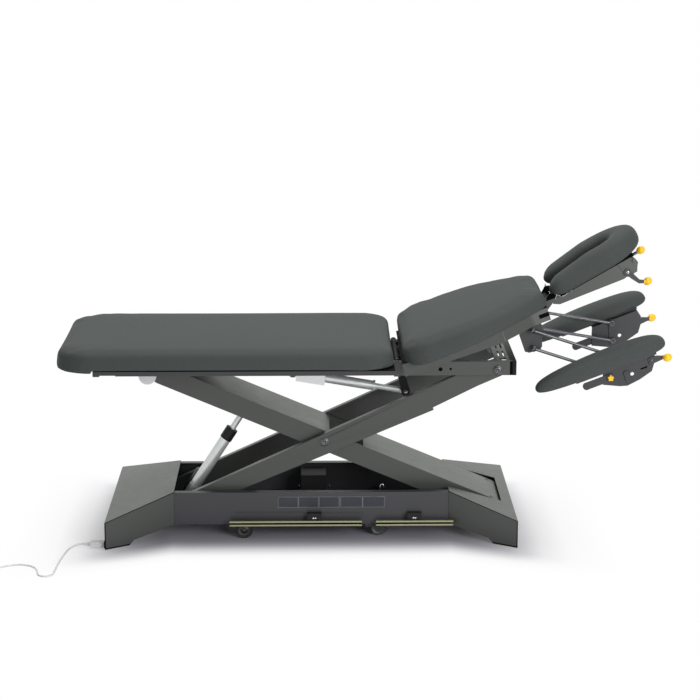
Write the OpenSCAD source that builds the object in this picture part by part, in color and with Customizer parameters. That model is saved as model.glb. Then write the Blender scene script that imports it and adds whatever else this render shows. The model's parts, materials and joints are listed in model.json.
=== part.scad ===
/* [Base] */
// Half of the length of the base
base_half_len = 650; // [620:5:700]
// Half of the width of the two broad ends of the base
base_end_half_w = 330; // [300:5:380]
// Half of the width of the narrow middle, over the faces of the two rails
rail_half_w = 190; // [188:1:200]
// Height of the rails' top edge above the floor
rail_top = 147; // [140:1:160]
// Height of the rails' bottom edge above the floor
rail_bottom = 41; // [38:1:43]
// Length of each end cover along the base
cover_len = 210; // [190:5:230]
// Height of a cover's top at its outer end
cover_low = 90; // [88:1:100]
// Thickness of the cover sheet
cover_sheet = 2; // [1.5:0.1:2.3]
// Length of the side skirt that reaches the floor
cover_foot_len = 73; // [50:1:90]
// Half of the width of the slot for the inner arm
slot_half_w = 137; // [126:1:150]
// Radius of a levelling foot
foot_r = 20; // [15:0.5:24]
// Thickness of the rails' folded steel
rail_sheet = 3; // [2:0.1:3.5]

/* [Wheels and pedals] */
// Radius of the castor wheels
wheel_r = 28; // [22:0.5:28]
// Width of the tread of a castor wheel
wheel_w = 16; // [12:0.5:18]
// Radius of the wheel axles
wheel_axle_r = 7; // [5:0.5:8]
// Height of a pedal bar
pedal_h = 17; // [13:0.5:19]
// Depth of a pedal bar
pedal_depth = 12; // [9:0.5:14]
// Distance of the pedal bars' front from the middle plane
pedal_reach = 222; // [218:1:232]

/* [Scissor lift] */
// Angle of the scissor arms above the floor, as shown
lift_angle = 23.58; // [20:0.1:34]
// How much shorter a scissor arm is, between its end pivots, than the base
arm_short = 100; // [80:5:120]
// Distance from the end of the base to the head-end pivots
pivot_inset = 58; // [54:1:64]
// Height of the fixed floor pivot
low_pivot_z = 62; // [60:0.5:66]
// Half of the width of the inner arm, over its side plates
inner_half_w = 118; // [112:0.5:119]
// Thickness of the inner arm's plates
inner_plate = 4; // [3:0.25:5]
// Width of each outer arm bar
outer_bar_w = 26; // [22:0.5:26]
// Radius of the scissor's pivot pins
pin_r = 10; // [8:0.25:11]
// Radius of the rollers in the base
low_roller_r = 18; // [16:0.25:18]
// Radius of the pale rollers under the top frame
top_roller_r = 28.5; // [26:0.25:29]

/* [Lift actuator] */
// Radius of the actuator's outer tube
act_tube_r = 18; // [15:0.5:20]
// Radius of the actuator's rod
act_rod_r = 10; // [8:0.25:12]
// Length of the actuator's rod and collar that show out of its tube
act_rod_out = 138.5; // [132:0.5:142]
// Length of the black collar at the tube's mouth
act_collar_len = 41; // [30:1:44]

/* [Top frame] */
// Height of a top rail
top_rail_h = 45; // [42:0.5:46]
// Width of a top rail
top_rail_w = 20; // [16:0.5:24]
// Distance from the foot end of the base to the foot end of the top rails
top_foot_inset = 30; // [10:1:40]
// Distance from the upper pivots to the head end of the top frame
top_overhang = 60; // [56:1:68]
// Distance from the foot end of the top rails to the foot end of the long tray
tray_foot_over = 56; // [40:1:80]
// Half of the width of the long tray
tray_half_w = 318; // [310:1:320]

/* [Cushions] */
// Distance from the foot end of the tray to the foot end of the long cushion
long_foot_over = 124; // [100:4:160]
// Half of the width of the table's cushions
cushion_half_w = 330; // [322:1:345]
// Thickness of the table's cushions over the crown
cushion_t = 61; // [50:0.5:62]
// Radius of the long cushion's foot corners
long_corner_r = 95; // [60:5:120]
// How much shorter the back cushion is than the back frame
back_cushion_short = 24; // [21:1:45]
// Length of the straight sides of the back cushion
back_side_len = 272; // [250:1:290]
// Half of the width of the back cushion at its head end
back_tip_half_w = 168; // [155:1:185]
// Radius of the tube of the horseshoe head cushion, across
head_roll_half_w = 45; // [40:0.5:48]
// Thickness of the head cushion
head_t = 74; // [60:0.5:80]
// Distance from the middle plane to the middle of each side of the horseshoe
head_roll_y = 90; // [84:0.5:100]
// Length of an armrest pad
pad_len = 431; // [400:1:440]
// Width of an armrest pad
pad_w = 124; // [110:1:126]
// Thickness of an armrest pad
pad_t = 55; // [45:0.5:60]

/* [Back section] */
// Tilt of the back section above level, as shown
back_tilt = 19.4; // [0:0.1:30]
// Distance from the head end of the top frame to the back section's hinge
back_hinge_in = 379; // [376:1:380]
// Depth of the folded side of the back frame
back_skirt = 42; // [36:0.5:44]
// Length of the crank that the back actuator pushes
crank_len = 134.5; // [130:0.5:140]

/* [Head section] */
// Tilt of the head section above the back section, as shown
head_tilt = 10.6; // [-10:0.1:14]
// Distance from the end of the back frame to the head section's hinge
head_hinge_out = 29.4; // [29:0.2:40]
// Half of the width of the head channel
channel_half_w = 56; // [50:0.5:58]
// Radius of a yellow knob
knob_r = 14; // [12:0.25:15]

/* [Armrests] */
// Length of the armrest rods between their pins
rod_len = 305; // [300:1:312]
// Radius of the armrest rods
rod_r = 5; // [4:0.25:6]
// Angle of the near rods below the back section's plane, as shown
near_rod_angle = 37.4; // [34:0.1:44]
// Angle of the far rods below the back section's plane, as shown
far_rod_angle = 28.9; // [28:0.1:44]
// Tilt of the armrests above the back section's plane, as shown
armrest_tilt = 1.6; // [-6:0.1:6]
// Distance of the rods' centres from the middle plane
rod_y = 173; // [172:0.25:174]

/* [Mains lead] */
// Diameter of the mains lead
cord_d = 6; // [5:0.1:6]
// Distance between turns and layers of the stored coil
coil_pitch = 6.6; // [6.5:0.05:7.2]

/* [Hidden] */
$fn = 48;
frame_grey = [0.33, 0.33, 0.335];
dark_grey = [0.2, 0.2, 0.205];
black = [0.06, 0.06, 0.065];
pale = [0.86, 0.86, 0.85];
steel = [0.7, 0.7, 0.72];
yellow = [1, 0.78, 0.12];
vinyl = [0.3, 0.32, 0.315];
brass_grey = [0.62, 0.62, 0.5];
// One overrun serves every cut
over = 1;
// Play between a pin and its bore, and between pieces that lie on each other
play = 0.05;
rest_gap = 0.3;
// Play between pieces that move past each other
pass_gap = 3;

// Heights and places that follow from the base and the lift
pivot_x = base_half_len - pivot_inset;
cover_inner_x = base_half_len - cover_len;
arm_len = base_half_len * 2 - arm_short;
arm_mid = arm_len / 2;
top_foot_x = base_half_len - top_foot_inset;
tray_foot_x = top_foot_x + tray_foot_over;
long_foot_x = tray_foot_x + long_foot_over;
top_head_x = pivot_x + top_overhang;
back_hinge_x = top_head_x - back_hinge_in;
top_z = low_pivot_z + arm_len * sin(lift_angle);
low_roller_x = pivot_x - arm_len * cos(lift_angle);
top_pivot_drop = 17;
top_rail_z = -top_pivot_drop;
top_rail_top = top_rail_z + top_rail_h;
outer_in = inner_half_w + 4;
outer_out = outer_in + outer_bar_w;
top_rail_in = outer_out + pass_gap;
top_rail_out = top_rail_in + top_rail_w;
tray_sheet = 4;
tray_gap = 1;
tray_z = top_rail_top + tray_gap;
tray_top = tray_z + tray_sheet;
tray_lip = 13;
hinge_rise = top_rail_top - 5;
back_gap = 11;
long_head_x = back_hinge_x - back_gap;

// Places on the tilted sections, each as [x, z] from the middle of the base
function turn(p, a) = [p[0] * cos(a) - p[1] * sin(a), p[0] * sin(a) + p[1] * cos(a)];
function back_point(p) = [back_hinge_x, top_z + hinge_rise] + turn(p, back_tilt);
back_plate_z = 6;
back_plate_t = 4;
back_top = back_plate_z + back_plate_t;
head_hinge_z = 15.3;
upper_pin_in = 68;
upper_pin_drop = 42;
lower_pin_in = 83;
lower_pin_drop = 99;
frame_end_over = 126;
frame_end_l = back_hinge_in + frame_end_over;
upper_pin = [frame_end_l - upper_pin_in, -upper_pin_drop];
lower_pin = [frame_end_l - lower_pin_in, -lower_pin_drop];
head_hinge_l = frame_end_l + head_hinge_out;
back_cushion_len = frame_end_l - back_cushion_short;
function rod_end(pin, angle) = pin + turn([rod_len, 0], -angle);
armrest_pin = [-5, -42];
function armrest_hub(angle) = rod_end(upper_pin, angle) + armrest_pin;
lever_knob = [138, 4];
function knob_reach(angle) =
    back_point(armrest_hub(angle) + turn(lever_knob, armrest_tilt))[0] + knob_r;
head_reach_x = max(knob_reach(near_rod_angle), knob_reach(far_rod_angle));
origin_x = (head_reach_x - long_foot_x) / 2;

module at_origin() { translate([-origin_x, 0, 0]) children(); }
module on_top() { translate([0, 0, top_z]) children(); }
module on_back() { translate([back_hinge_x, 0, top_z + hinge_rise]) rotate([0, -back_tilt, 0]) children(); }
module on_head() { on_back() translate([head_hinge_l, 0, head_hinge_z]) rotate([0, -head_tilt,
    0]) children(); }
module on_inner() { translate([pivot_x, 0, low_pivot_z]) rotate([0, lift_angle, 0]) children(); }
module on_outer() { translate([low_roller_x, 0, low_pivot_z]) rotate([0, -lift_angle, 0]) children(); }
module near() { mirror([0, 1, 0]) children(); }
module both() { children(); mirror([0, 1, 0]) children(); }

// Simple solids given by their corners
module block(a, b) { translate(a) cube(b - a); }
module plate(points, y0, y1) {
    translate([0, y1, 0]) rotate([90, 0, 0]) linear_extrude(y1 - y0) polygon(points);
}
module rod(x, z, r, y0, y1) { translate([x, y1, z]) rotate([90, 0, 0]) cylinder(r = r, h = y1 - y0); }
// A flat link with round ends, a little slimmer between them
link_waist = 0.96;
module link(p, q, r, y0, y1) {
    d = q - p;
    a = atan2(d[1], d[0]);
    rod(p[0], p[1], r, y0, y1);
    rod(q[0], q[1], r, y0, y1);
    translate([p[0], 0, p[1]]) rotate([0, -a, 0])
        block([0, y0, -r * link_waist], [norm(d), y1, r * link_waist]);
}

// Base
cover_slope = (rail_top + 3 - cover_low) / (base_half_len - cover_inner_x);
cover_top = rail_top + 3;
function cover_z(x) = cover_top - (x - cover_inner_x) * cover_slope;
cover_mid_half_w = rail_half_w + cover_sheet * 1.3;
cover_flare = (base_end_half_w - cover_mid_half_w) / (base_half_len - cover_inner_x);
function cover_y(x) = cover_mid_half_w + (x - cover_inner_x) * cover_flare;
cover_bottom = 2;
cover_notch = 15;
slot_end_x = pivot_x + 21;
rail_inner_lip = outer_out + 1.5;
rail_flange = 25;
rail_end_gap = 8;
beam_w = 28;
beam_bottom = 11;
beam_end = 38;
beam_x = base_half_len - beam_end;
beam_end_gap = 10;

module base_rail() {
    end_x = base_half_len - rail_end_gap;
    end_z = cover_z(end_x) - cover_sheet * 2;
    side = [[-end_x, rail_bottom], [end_x, rail_bottom], [end_x, end_z],
        [cover_inner_x, cover_z(cover_inner_x) - cover_sheet * 3], [cover_inner_x - over, rail_top],
        [over - cover_inner_x, rail_top], [-cover_inner_x, cover_z(cover_inner_x) - cover_sheet * 3],
        [-end_x, end_z]];
    color(frame_grey) {
        difference() {
            plate(side, rail_half_w - rail_sheet, rail_half_w);
            rod(pivot_x, low_pivot_z, pin_r, rail_half_w - rail_sheet - over, rail_half_w + over);
        }
        for (x = [[-end_x, head_wheel_x - wheel_arch], [head_wheel_x + wheel_arch, end_x]])
            block([x[0], rail_inner_lip, rail_bottom],
                [x[1], rail_half_w - rail_sheet, rail_bottom + rail_sheet]);
        block([-cover_inner_x + over, rail_half_w - rail_flange, rail_top - rail_sheet],
            [cover_inner_x - over, rail_half_w - rail_sheet, rail_top]);
    }
}

module cover_prism(inset) {
    x0 = cover_inner_x - (inset > 0 ? over : 0);
    x1 = base_half_len - inset;
    side = inset * sqrt(1 + cover_flare * cover_flare);
    floor_edge = inset > 0 ? [[x0, -over]] : [[x0, rail_bottom],
        [cover_inner_x + cover_notch / 2, rail_bottom],
        [base_half_len - cover_foot_len - cover_notch, cover_notch + cover_bottom],
        [base_half_len - cover_foot_len, cover_bottom]];
    intersection() {
        linear_extrude(cover_top * 2)
            polygon([[x0, side - cover_y(x0)], [x1, side - cover_y(x1)], [x1, cover_y(x1) - side],
                [x0, cover_y(x0) - side]]);
        plate(concat([[x0, cover_z(x0) - inset]], floor_edge,
            [[x1, inset > 0 ? -over : cover_bottom], [x1, cover_z(x1) - inset]]),
            -base_end_half_w - over, base_end_half_w + over);
    }
}
module end_cover() {
    difference() {
        cover_prism(0);
        cover_prism(cover_sheet);
    }
}
module foot_end_cover() at_origin() color(frame_grey) mirror([1, 0, 0]) {
    end_cover();
    // Collar of the mains inlet
    difference() {
        block([base_half_len, inlet_y - inlet_w / 2, inlet_z - inlet_h / 2],
            [base_half_len + inlet_lip, inlet_y + inlet_w / 2, inlet_z + inlet_h / 2]);
        block([base_half_len - over, inlet_y - plug_w / 2 - rest_gap, inlet_z - plug_h / 2 - rest_gap],
            [base_half_len + inlet_lip + over, inlet_y + plug_w / 2 + rest_gap,
                inlet_z + plug_h / 2 + rest_gap]);
    }
}
module head_end_cover() at_origin() color(frame_grey) difference() {
    end_cover();
    block([cover_inner_x - over, -slot_half_w, cover_low / 2], [slot_end_x, slot_half_w, cover_top + over]);
}

// Longitudinal beam that carries the lift actuator, outrigger beams under the rails and a floor pan
wheel_in = 225;
head_wheel_x = cover_inner_x - wheel_in;
foot_wheel_x = -head_wheel_x;
pan_foot_gap = 15;
pan_head_gap = 50;
pan_x0 = foot_wheel_x + pan_foot_gap;
pan_x1 = head_wheel_x - pan_head_gap;
act_foot_in = 188;
act_foot_z = 60;
act_foot = [pivot_x - arm_len + act_foot_in, act_foot_z];
act_lug_r = 15;
act_lug_in = 15;
act_lug_t = 5;
mid_beam_gap = 120;
mid_beam_x = act_foot[0] + mid_beam_gap;
mid_beam_h = 8;
foot_pin_r = 7;
module base_cross_members() at_origin() color(dark_grey) {
    for (s = [-1, 1]) scale([s, 1, 1])
        block([beam_x, -cover_y(beam_x) + beam_end_gap, beam_bottom],
            [beam_x + beam_w, cover_y(beam_x) - beam_end_gap, rail_bottom]);
    block([mid_beam_x, -rail_inner_lip - mid_beam_h, rail_bottom - mid_beam_h],
        [mid_beam_x + beam_w, rail_inner_lip + mid_beam_h, rail_bottom]);
    block([-beam_x, -act_lug_in - act_lug_t, beam_bottom],
        [mid_beam_x + beam_w / 2, act_lug_in + act_lug_t, rail_bottom]);
    both() difference() {
        union() {
            rod(act_foot[0], act_foot[1], act_lug_r, act_lug_in, act_lug_in + act_lug_t);
            block([act_foot[0] - act_lug_r, act_lug_in, rail_bottom - over],
                [act_foot[0] + act_lug_r, act_lug_in + act_lug_t, act_foot[1]]);
        }
        rod(act_foot[0], act_foot[1], foot_pin_r + play, act_lug_in - over, act_lug_in + act_lug_t + over);
    }
    // Floor pan on the rails' lower flanges
    block([pan_x0, -rail_half_w + rail_sheet + rest_gap, rail_bottom + rail_sheet],
        [pan_x1, rail_half_w - rail_sheet - rest_gap, rail_bottom + rail_sheet * 2]);
}
foot_x = base_half_len - 24;
foot_y = base_end_half_w - 55;
foot_pad_h = 6;
module levelling_feet() at_origin() color(black) for (sx = [-1, 1]) for (sy = [-1, 1])
    translate([sx * foot_x, sy * foot_y, 0]) {
        cylinder(r = foot_r, h = foot_pad_h);
        cylinder(r = foot_r / 2, h = beam_bottom);
    }
box_x0 = -35;
box_x1 = 48;
box_y0 = 66;
box_y1 = 158;
box_h = 84;
module control_box() at_origin() color(dark_grey)
    block([box_x0, box_y0, rail_bottom + rail_sheet * 2],
        [box_x1, box_y1, rail_bottom + rail_sheet * 2 + box_h]);
module lower_axle() at_origin() color(steel) rod(pivot_x, low_pivot_z, pin_r, -rail_half_w, rail_half_w);

// Pedals: a bar on two arms, hinged under the rail, with a switch box above each bar
pedal_z = 52;
pedal_hinge_y = 168;
pedal_hinge_z = 36;
pedal_pin_r = 3;
pedal_arm_t = 5;
pedal_ear = 5;
pedal_ear_w = 8;
head_bar_len = 247;
head_bar_over = 13;
head_bar = [cover_inner_x + head_bar_over - head_bar_len, cover_inner_x + head_bar_over];
foot_bar_in = 178;
pedal_gap = 45;
foot_bar = [foot_bar_in - cover_inner_x, head_bar[0] - pedal_gap];
pedal_inset = 90;
module pedal(bar) {
    difference() {
        block([bar[0], pedal_reach - pedal_depth, pedal_z - pedal_h / 2],
            [bar[1], pedal_reach, pedal_z + pedal_h / 2]);
        block([bar[0] + pedal_arm_t, pedal_reach - pedal_depth / 4, pedal_z - pedal_h / 6],
            [bar[1] - pedal_arm_t, pedal_reach + over, pedal_z + pedal_h / 6]);
    }
    for (x = [bar[0] + pedal_inset, bar[1] - pedal_inset - pedal_arm_t]) difference() {
        pedal_arm(x);
        translate([x - over, pedal_hinge_y, pedal_hinge_z]) rotate([0, 90, 0])
            cylinder(r = pedal_pin_r + play, h = pedal_arm_t + over * 2);
    }
}
module pedal_arm(x) {
    low = pedal_hinge_z - pedal_ear;
    back = pedal_reach - pedal_depth;
    translate([x, 0, 0]) rotate([90, 0, 90]) linear_extrude(pedal_arm_t) polygon([
        [pedal_hinge_y - pedal_ear, low], [pedal_hinge_y + pedal_ear, low],
        [back - pedal_ear_w, rail_bottom - pedal_ear], [back + over, pedal_z - pedal_h / 3],
        [back + over, pedal_z],
        [back - pedal_ear, pedal_z], [back - pedal_ear_w, rail_bottom - over / 2],
        [pedal_hinge_y - pedal_ear, rail_bottom - over]]);
}
module pedal_near_foot() at_origin() color(brass_grey) near() pedal(foot_bar);
module pedal_near_head() at_origin() color(brass_grey) near() pedal(head_bar);
module pedal_far_foot() at_origin() color(brass_grey) pedal(foot_bar);
module pedal_far_head() at_origin() color(brass_grey) pedal(head_bar);
foot_switch_in = 248;
head_switch_in = 100;
switch_xs = [foot_bar[0] + foot_switch_in, head_bar[0] + head_switch_in];
switch_w = 46;
switch_d = 22;
switch_z0 = pedal_z + pedal_h / 2 + 2;
switch_h = 20;
module pedal_switch_boxes() at_origin() color(black) {
    both() for (x = switch_xs) block([x, rail_half_w, switch_z0],
        [x + switch_w, rail_half_w + switch_d, switch_z0 + switch_h]);
    // Hinge pins of the pedals, in ears under the rails
    both() for (bar = [foot_bar, head_bar]) for (x = [bar[0] + pedal_inset,
        bar[1] - pedal_inset - pedal_arm_t]) {
        translate([x - pedal_ear_w, pedal_hinge_y, pedal_hinge_z]) rotate([0, 90, 0])
            cylinder(r = pedal_pin_r, h = pedal_arm_t + pedal_ear_w * 2);
        for (e = [x - pedal_ear_w, x + pedal_arm_t + rest_gap])
            block([e, pedal_hinge_y - pedal_ear, pedal_hinge_z - pedal_ear],
                [e + pedal_ear_w - rest_gap, pedal_hinge_y + pedal_ear, rail_bottom]);
    }
}

// Castor wheels: one wheelset near each end of the rails, just clear of the floor while the table stands
wheel_clear = 1;
wheel_z = wheel_r + wheel_clear;
foot_wheel_y = rail_half_w + 1 + wheel_w / 2;
head_wheel_y = 168;
bracket_t = 6;
foot_bracket_y = rail_half_w - 14;
head_bracket_y = head_wheel_y + wheel_w / 2 + 2;
wheel_arch = 34;
module wheelset(x, y, axle_y) {
    rod(x, wheel_z, wheel_axle_r, -axle_y, axle_y);
    both() difference() {
        rod(x, wheel_z, wheel_r, y - wheel_w / 2, y + wheel_w / 2);
        rod(x, wheel_z, wheel_r * 0.7, y + wheel_w / 2 - bracket_t / 2, y + wheel_w / 2 + over);
    }
}
module castor_wheels_foot() at_origin() color(black) wheelset(foot_wheel_x, foot_wheel_y, foot_wheel_y);
module castor_wheels_head() at_origin() color(black)
    wheelset(head_wheel_x, head_wheel_y, head_bracket_y + bracket_t);
module castor_brackets() at_origin() color(dark_grey) both()
    for (p = [[foot_wheel_x, foot_bracket_y, wheel_axle_r * 2],
        [head_wheel_x, head_bracket_y, wheel_arch + pass_gap * 3]]) difference() {
        union() {
            block([p[0] - p[2], p[1], wheel_z], [p[0] + p[2], p[1] + bracket_t, rail_bottom]);
            rod(p[0], wheel_z, wheel_axle_r * 2, p[1], p[1] + bracket_t);
        }
        rod(p[0], wheel_z, wheel_axle_r + play, p[1] - over, p[1] + bracket_t + over);
        block([p[0] - wheel_r, p[1] - over, rail_bottom],
            [p[0] + wheel_r, p[1] + bracket_t + over, rail_top]);
    }

// Inner arm: two side plates and a top plate, drawn along -X from its floor pivot
inner_top_a = 36;
inner_top_d = 20;
inner_bottom_a = 28;
inner_bottom_d = 41;
inner_end_in = 4;
inner_reach = arm_len - inner_end_in;
inner_nose = 30;
function inner_edge(d, top) = top ? inner_top_a + (inner_top_d - inner_top_a) * d / arm_len
    : -inner_bottom_a + (inner_bottom_a - inner_bottom_d) * d / arm_len;
roller_out = 2.8;
roller_d = arm_len + roller_out;
roller_n = -24;
roller_axle_r = 8;
sleeve_r = 17;
lift_eye_in = 337.5;
lift_eye_drop = 16.4;
lift_eye = [arm_len - lift_eye_in, -lift_eye_drop];
lift_lug_in = 14;
plate_gap_low = 124;
plate_gap_high = 6;
plate_gap_a = arm_mid - plate_gap_low;
plate_gap_b = arm_mid - plate_gap_high;
module inner_arm() at_origin() color(frame_grey) on_inner() {
    side = [[0, -inner_bottom_a], [inner_nose * 0.7, -inner_bottom_a * 0.8], [inner_nose, 0],
        [inner_nose * 0.8, inner_top_a * 0.7], [inner_nose * 0.3, inner_top_a],
        [-inner_reach, inner_edge(inner_reach, true)], [-inner_reach - inner_nose * 0.7, -inner_nose / 3],
        [-inner_reach - inner_nose * 0.5, -inner_bottom_d * 0.8],
            [-inner_reach + inner_nose, inner_edge(inner_reach, false)]];
    both() difference() {
        plate(side, inner_half_w - inner_plate, inner_half_w);
        rod(0, 0, pin_r + play, 0, inner_half_w + over);
        rod(-arm_mid, 0, pin_r + play, 0, inner_half_w + over);
        rod(-roller_d, roller_n, roller_axle_r + play, 0, inner_half_w + over);
    }
    // Top plate in two lengths, open over the middle pivot
    for (d = [[-inner_nose * 0.3, plate_gap_a], [plate_gap_b, inner_reach]]) plate([[-d[0],
        inner_edge(d[0], true)],
        [-d[1], inner_edge(d[1], true)], [-d[1], inner_edge(d[1], true) - inner_plate],
        [-d[0], inner_edge(d[0], true) - inner_plate]], -inner_half_w + inner_plate,
            inner_half_w - inner_plate);
    // Sleeve round the floor pivot
    difference() {
        rod(0, 0, sleeve_r, -inner_half_w + inner_plate, inner_half_w - inner_plate);
        rod(0, 0, pin_r + play, -inner_half_w, inner_half_w);
    }
    // Lugs beside the lift actuator's rod eye
    both() difference() {
        union() {
            rod(-lift_eye[0], lift_eye[1], act_lug_r, lift_lug_in, lift_lug_in + act_lug_t);
            block([-lift_eye[0] - act_lug_r, lift_lug_in, lift_eye[1]],
                [-lift_eye[0] + act_lug_r, lift_lug_in + act_lug_t,
                    inner_edge(lift_eye[0], true) - inner_plate / 2]);
        }
        rod(-lift_eye[0], lift_eye[1], foot_pin_r, lift_lug_in - over, lift_lug_in + act_lug_t + over);
    }
}
module inner_rollers() at_origin() color(pale) on_inner() {
    rod(-roller_d, roller_n, roller_axle_r, -outer_out, outer_out);
    both() rod(-roller_d, roller_n, top_roller_r, inner_half_w + 4, outer_out - 2);
}

// Outer arms: two tapered bars with a step in the lower edge, drawn along +X from their floor rollers
outer_top_a = 16;
outer_top_d = 32.5;
outer_bottom_a = 34;
outer_bottom_d = 44;
outer_slim = 8;
outer_step_in = 238;
outer_step = arm_len - outer_step_in;
outer_nose = 28;
outer_wall = 4;
function outer_top(d) = outer_top_a + (outer_top_d - outer_top_a) * d / outer_taper;
function outer_bottom(d) = -outer_bottom_a - (outer_bottom_d - outer_bottom_a) * d / outer_step;
outer_taper_in = 80;
outer_taper = arm_len - outer_taper_in;
module outer_arm() {
    side = [[-outer_nose * 0.6, outer_bottom(0) + outer_wall * 2], [0, outer_bottom(0)],
        [outer_step, outer_bottom(outer_step)],
        [outer_step, outer_bottom(outer_step) + outer_slim], [outer_taper, -outer_nose],
            [arm_len, -outer_nose],
        [arm_len, outer_nose], [outer_taper, outer_top(outer_taper)], [0, outer_top(0)],
            [-outer_nose * 0.6, outer_top(0) * 0.7]];
    color(frame_grey) difference() {
        union() {
            plate(side, outer_in, outer_out);
            rod(0, 0, outer_nose * 0.9, outer_in, outer_out);
            rod(arm_len, 0, outer_nose, outer_in, outer_out);
        }
        plate([[outer_nose, outer_bottom(0) + outer_wall],
            [outer_step - outer_wall, outer_bottom(outer_step) + outer_wall],
            [outer_step - outer_wall, outer_bottom(outer_step) + outer_slim + outer_wall],
            [arm_len - outer_nose * 1.5, outer_wall - outer_nose],
                [arm_len - outer_nose * 1.5, outer_nose - outer_wall],
            [outer_nose, outer_top(outer_nose) - outer_wall]], outer_in + outer_wall,
                outer_out - outer_wall);
        for (d = [0, arm_mid, arm_len]) rod(d, 0, pin_r + play, outer_in - over, outer_out + over);
    }
}
module outer_arm_near() at_origin() on_outer() near() outer_arm();
module outer_arm_far() at_origin() on_outer() outer_arm();
cross_tube_r = 14;
cross_tube_in = 120;
cross_tube_d = arm_len - cross_tube_in;
module outer_cross_tube() at_origin() color(frame_grey) on_outer()
    rod(cross_tube_d, 0, cross_tube_r, -outer_in, outer_in);
roller_w = 9;
module outer_rollers() at_origin() color(steel) on_outer() both() {
    rod(0, 0, pin_r, outer_in, outer_out + rail_clear + roller_w);
    rod(0, 0, low_roller_r, outer_out + rail_clear, outer_out + rail_clear + roller_w);
}
rail_clear = 2;
bolt_head = 7;
module scissor_pivot_bolts() at_origin() color(steel) on_outer() both() {
    rod(arm_mid, 0, pin_r, inner_half_w - inner_plate * 2, outer_out + bolt_head / 2);
    rod(arm_mid, 0, pin_r * 1.3, outer_out, outer_out + bolt_head / 3);
    rod(arm_len, 0, pin_r, outer_in, top_rail_out + rest_gap + bolt_head);
    rod(arm_len, 0, pin_r * 1.3, top_rail_out + rest_gap, top_rail_out + rest_gap + bolt_head / 2);
}

// Lift actuator, drawn along +X from its foot pin and leaned towards the rod eye
act_eye = [pivot_x, low_pivot_z] + turn([-lift_eye[0], lift_eye[1]], -lift_angle);
act_lean = atan2(act_eye[1] - act_foot[1], act_eye[0] - act_foot[0]);
act_len = norm(act_eye - act_foot);
act_tube_end = act_len - act_rod_out;
act_wall = 3;
act_boot = 70;
motor_r = 22;
motor_y = 44;
rod_rest = 20;
rod_start = act_boot + rod_rest;
module on_actuator() { translate([act_foot[0], 0, act_foot[1]]) rotate([0, -act_lean, 0]) children(); }
module tube_x(x0, x1, r) { translate([x0, 0, 0]) rotate([0, 90, 0]) cylinder(r = r, h = x1 - x0); }
module lift_actuator_tube() at_origin() on_actuator() {
    color(pale) difference() {
        union() {
            tube_x(act_lug_r, act_tube_end, act_tube_r);
            tube_x(act_lug_r, act_boot, act_tube_r * 1.12);
            rod(0, 0, act_lug_r, -act_lug_in + rest_gap, act_lug_in - rest_gap);
            block([0, -act_lug_in + rest_gap, -act_lug_r],
                [act_lug_r * 1.2, act_lug_in - rest_gap, act_lug_r]);
        }
        tube_x(act_lug_r * 1.2, act_tube_end + over, act_rod_r + act_wall);
    }
    color(pale) rod(0, 0, foot_pin_r, -act_lug_in - act_lug_t, act_lug_in + act_lug_t);
    // Motor beside the tube's foot
    color(dark_grey) translate([0, motor_y, 0]) tube_x(act_lug_r * 1.5, act_boot * 1.6, motor_r);
    color(dark_grey) block([act_lug_r * 1.5, act_tube_r * 0.8, -act_tube_r * 0.8],
        [act_boot * 0.8, motor_y, act_tube_r * 0.8]);
}
module lift_actuator_collar() at_origin() color(black) on_actuator() difference() {
    tube_x(act_tube_end, act_tube_end + act_collar_len, act_tube_r * 1.12);
    tube_x(act_tube_end - over, act_tube_end + act_collar_len + over, act_rod_r + rest_gap);
}
module lift_actuator_rod() at_origin() color(pale) on_actuator() {
    tube_x(rod_start, act_len - act_lug_r / 2, act_rod_r);
    difference() {
        rod(act_len, 0, act_lug_r, -lift_lug_in + over, lift_lug_in - over);
        rod(act_len, 0, foot_pin_r, -lift_lug_in, lift_lug_in);
    }
}

// Top frame
top_wall = 3;
track_top = 15.5;
track_t = 4;
bar_w = 24;
track_len = 266;
track = [bar_w - top_foot_x, bar_w - top_foot_x + track_len];
rail_head_x = top_head_x - 12;
module top_rail() {
    color(frame_grey) difference() {
        union() {
            block([-top_foot_x, top_rail_in, top_rail_z], [rail_head_x, top_rail_out, top_rail_top]);
            block([track[0], outer_in, track_top - track_t], [track[1], top_rail_in, track_top]);
        }
        block([-top_foot_x - over, top_rail_in + top_wall, top_rail_z + top_wall],
            [rail_head_x + over, top_rail_out - top_wall, top_rail_top - top_wall]);
        rod(pivot_x, 0, pin_r + play, top_rail_in - over, top_rail_out + over);
    }
}
module top_rail_near() at_origin() on_top() near() top_rail();
module top_rail_far() at_origin() on_top() top_rail();
slot_xs = [pivot_x + 8, pivot_x + 24];
slot_w = 6;
slot_ys = [20, 90];
lid_x = pivot_x - 7;
lid_t = 6;
module head_cross_member() at_origin() on_top() {
    color(black) block([rail_head_x, -top_rail_out, top_rail_z],
        [top_head_x, top_rail_out, top_rail_top + rest_gap]);
    color(frame_grey) difference() {
        union() {
            block([lid_x, -inner_half_w, top_rail_top - lid_t], [rail_head_x, inner_half_w, top_rail_top]);
            block([pivot_x + outer_nose + pass_gap, -top_rail_in, top_rail_top - lid_t],
                [rail_head_x, top_rail_in, top_rail_top]);
        }
        both() for (x = slot_xs) block([x, slot_ys[0], top_rail_top - lid_t - over],
            [x + slot_w, slot_ys[1], top_rail_top + over]);
    }
}
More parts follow.
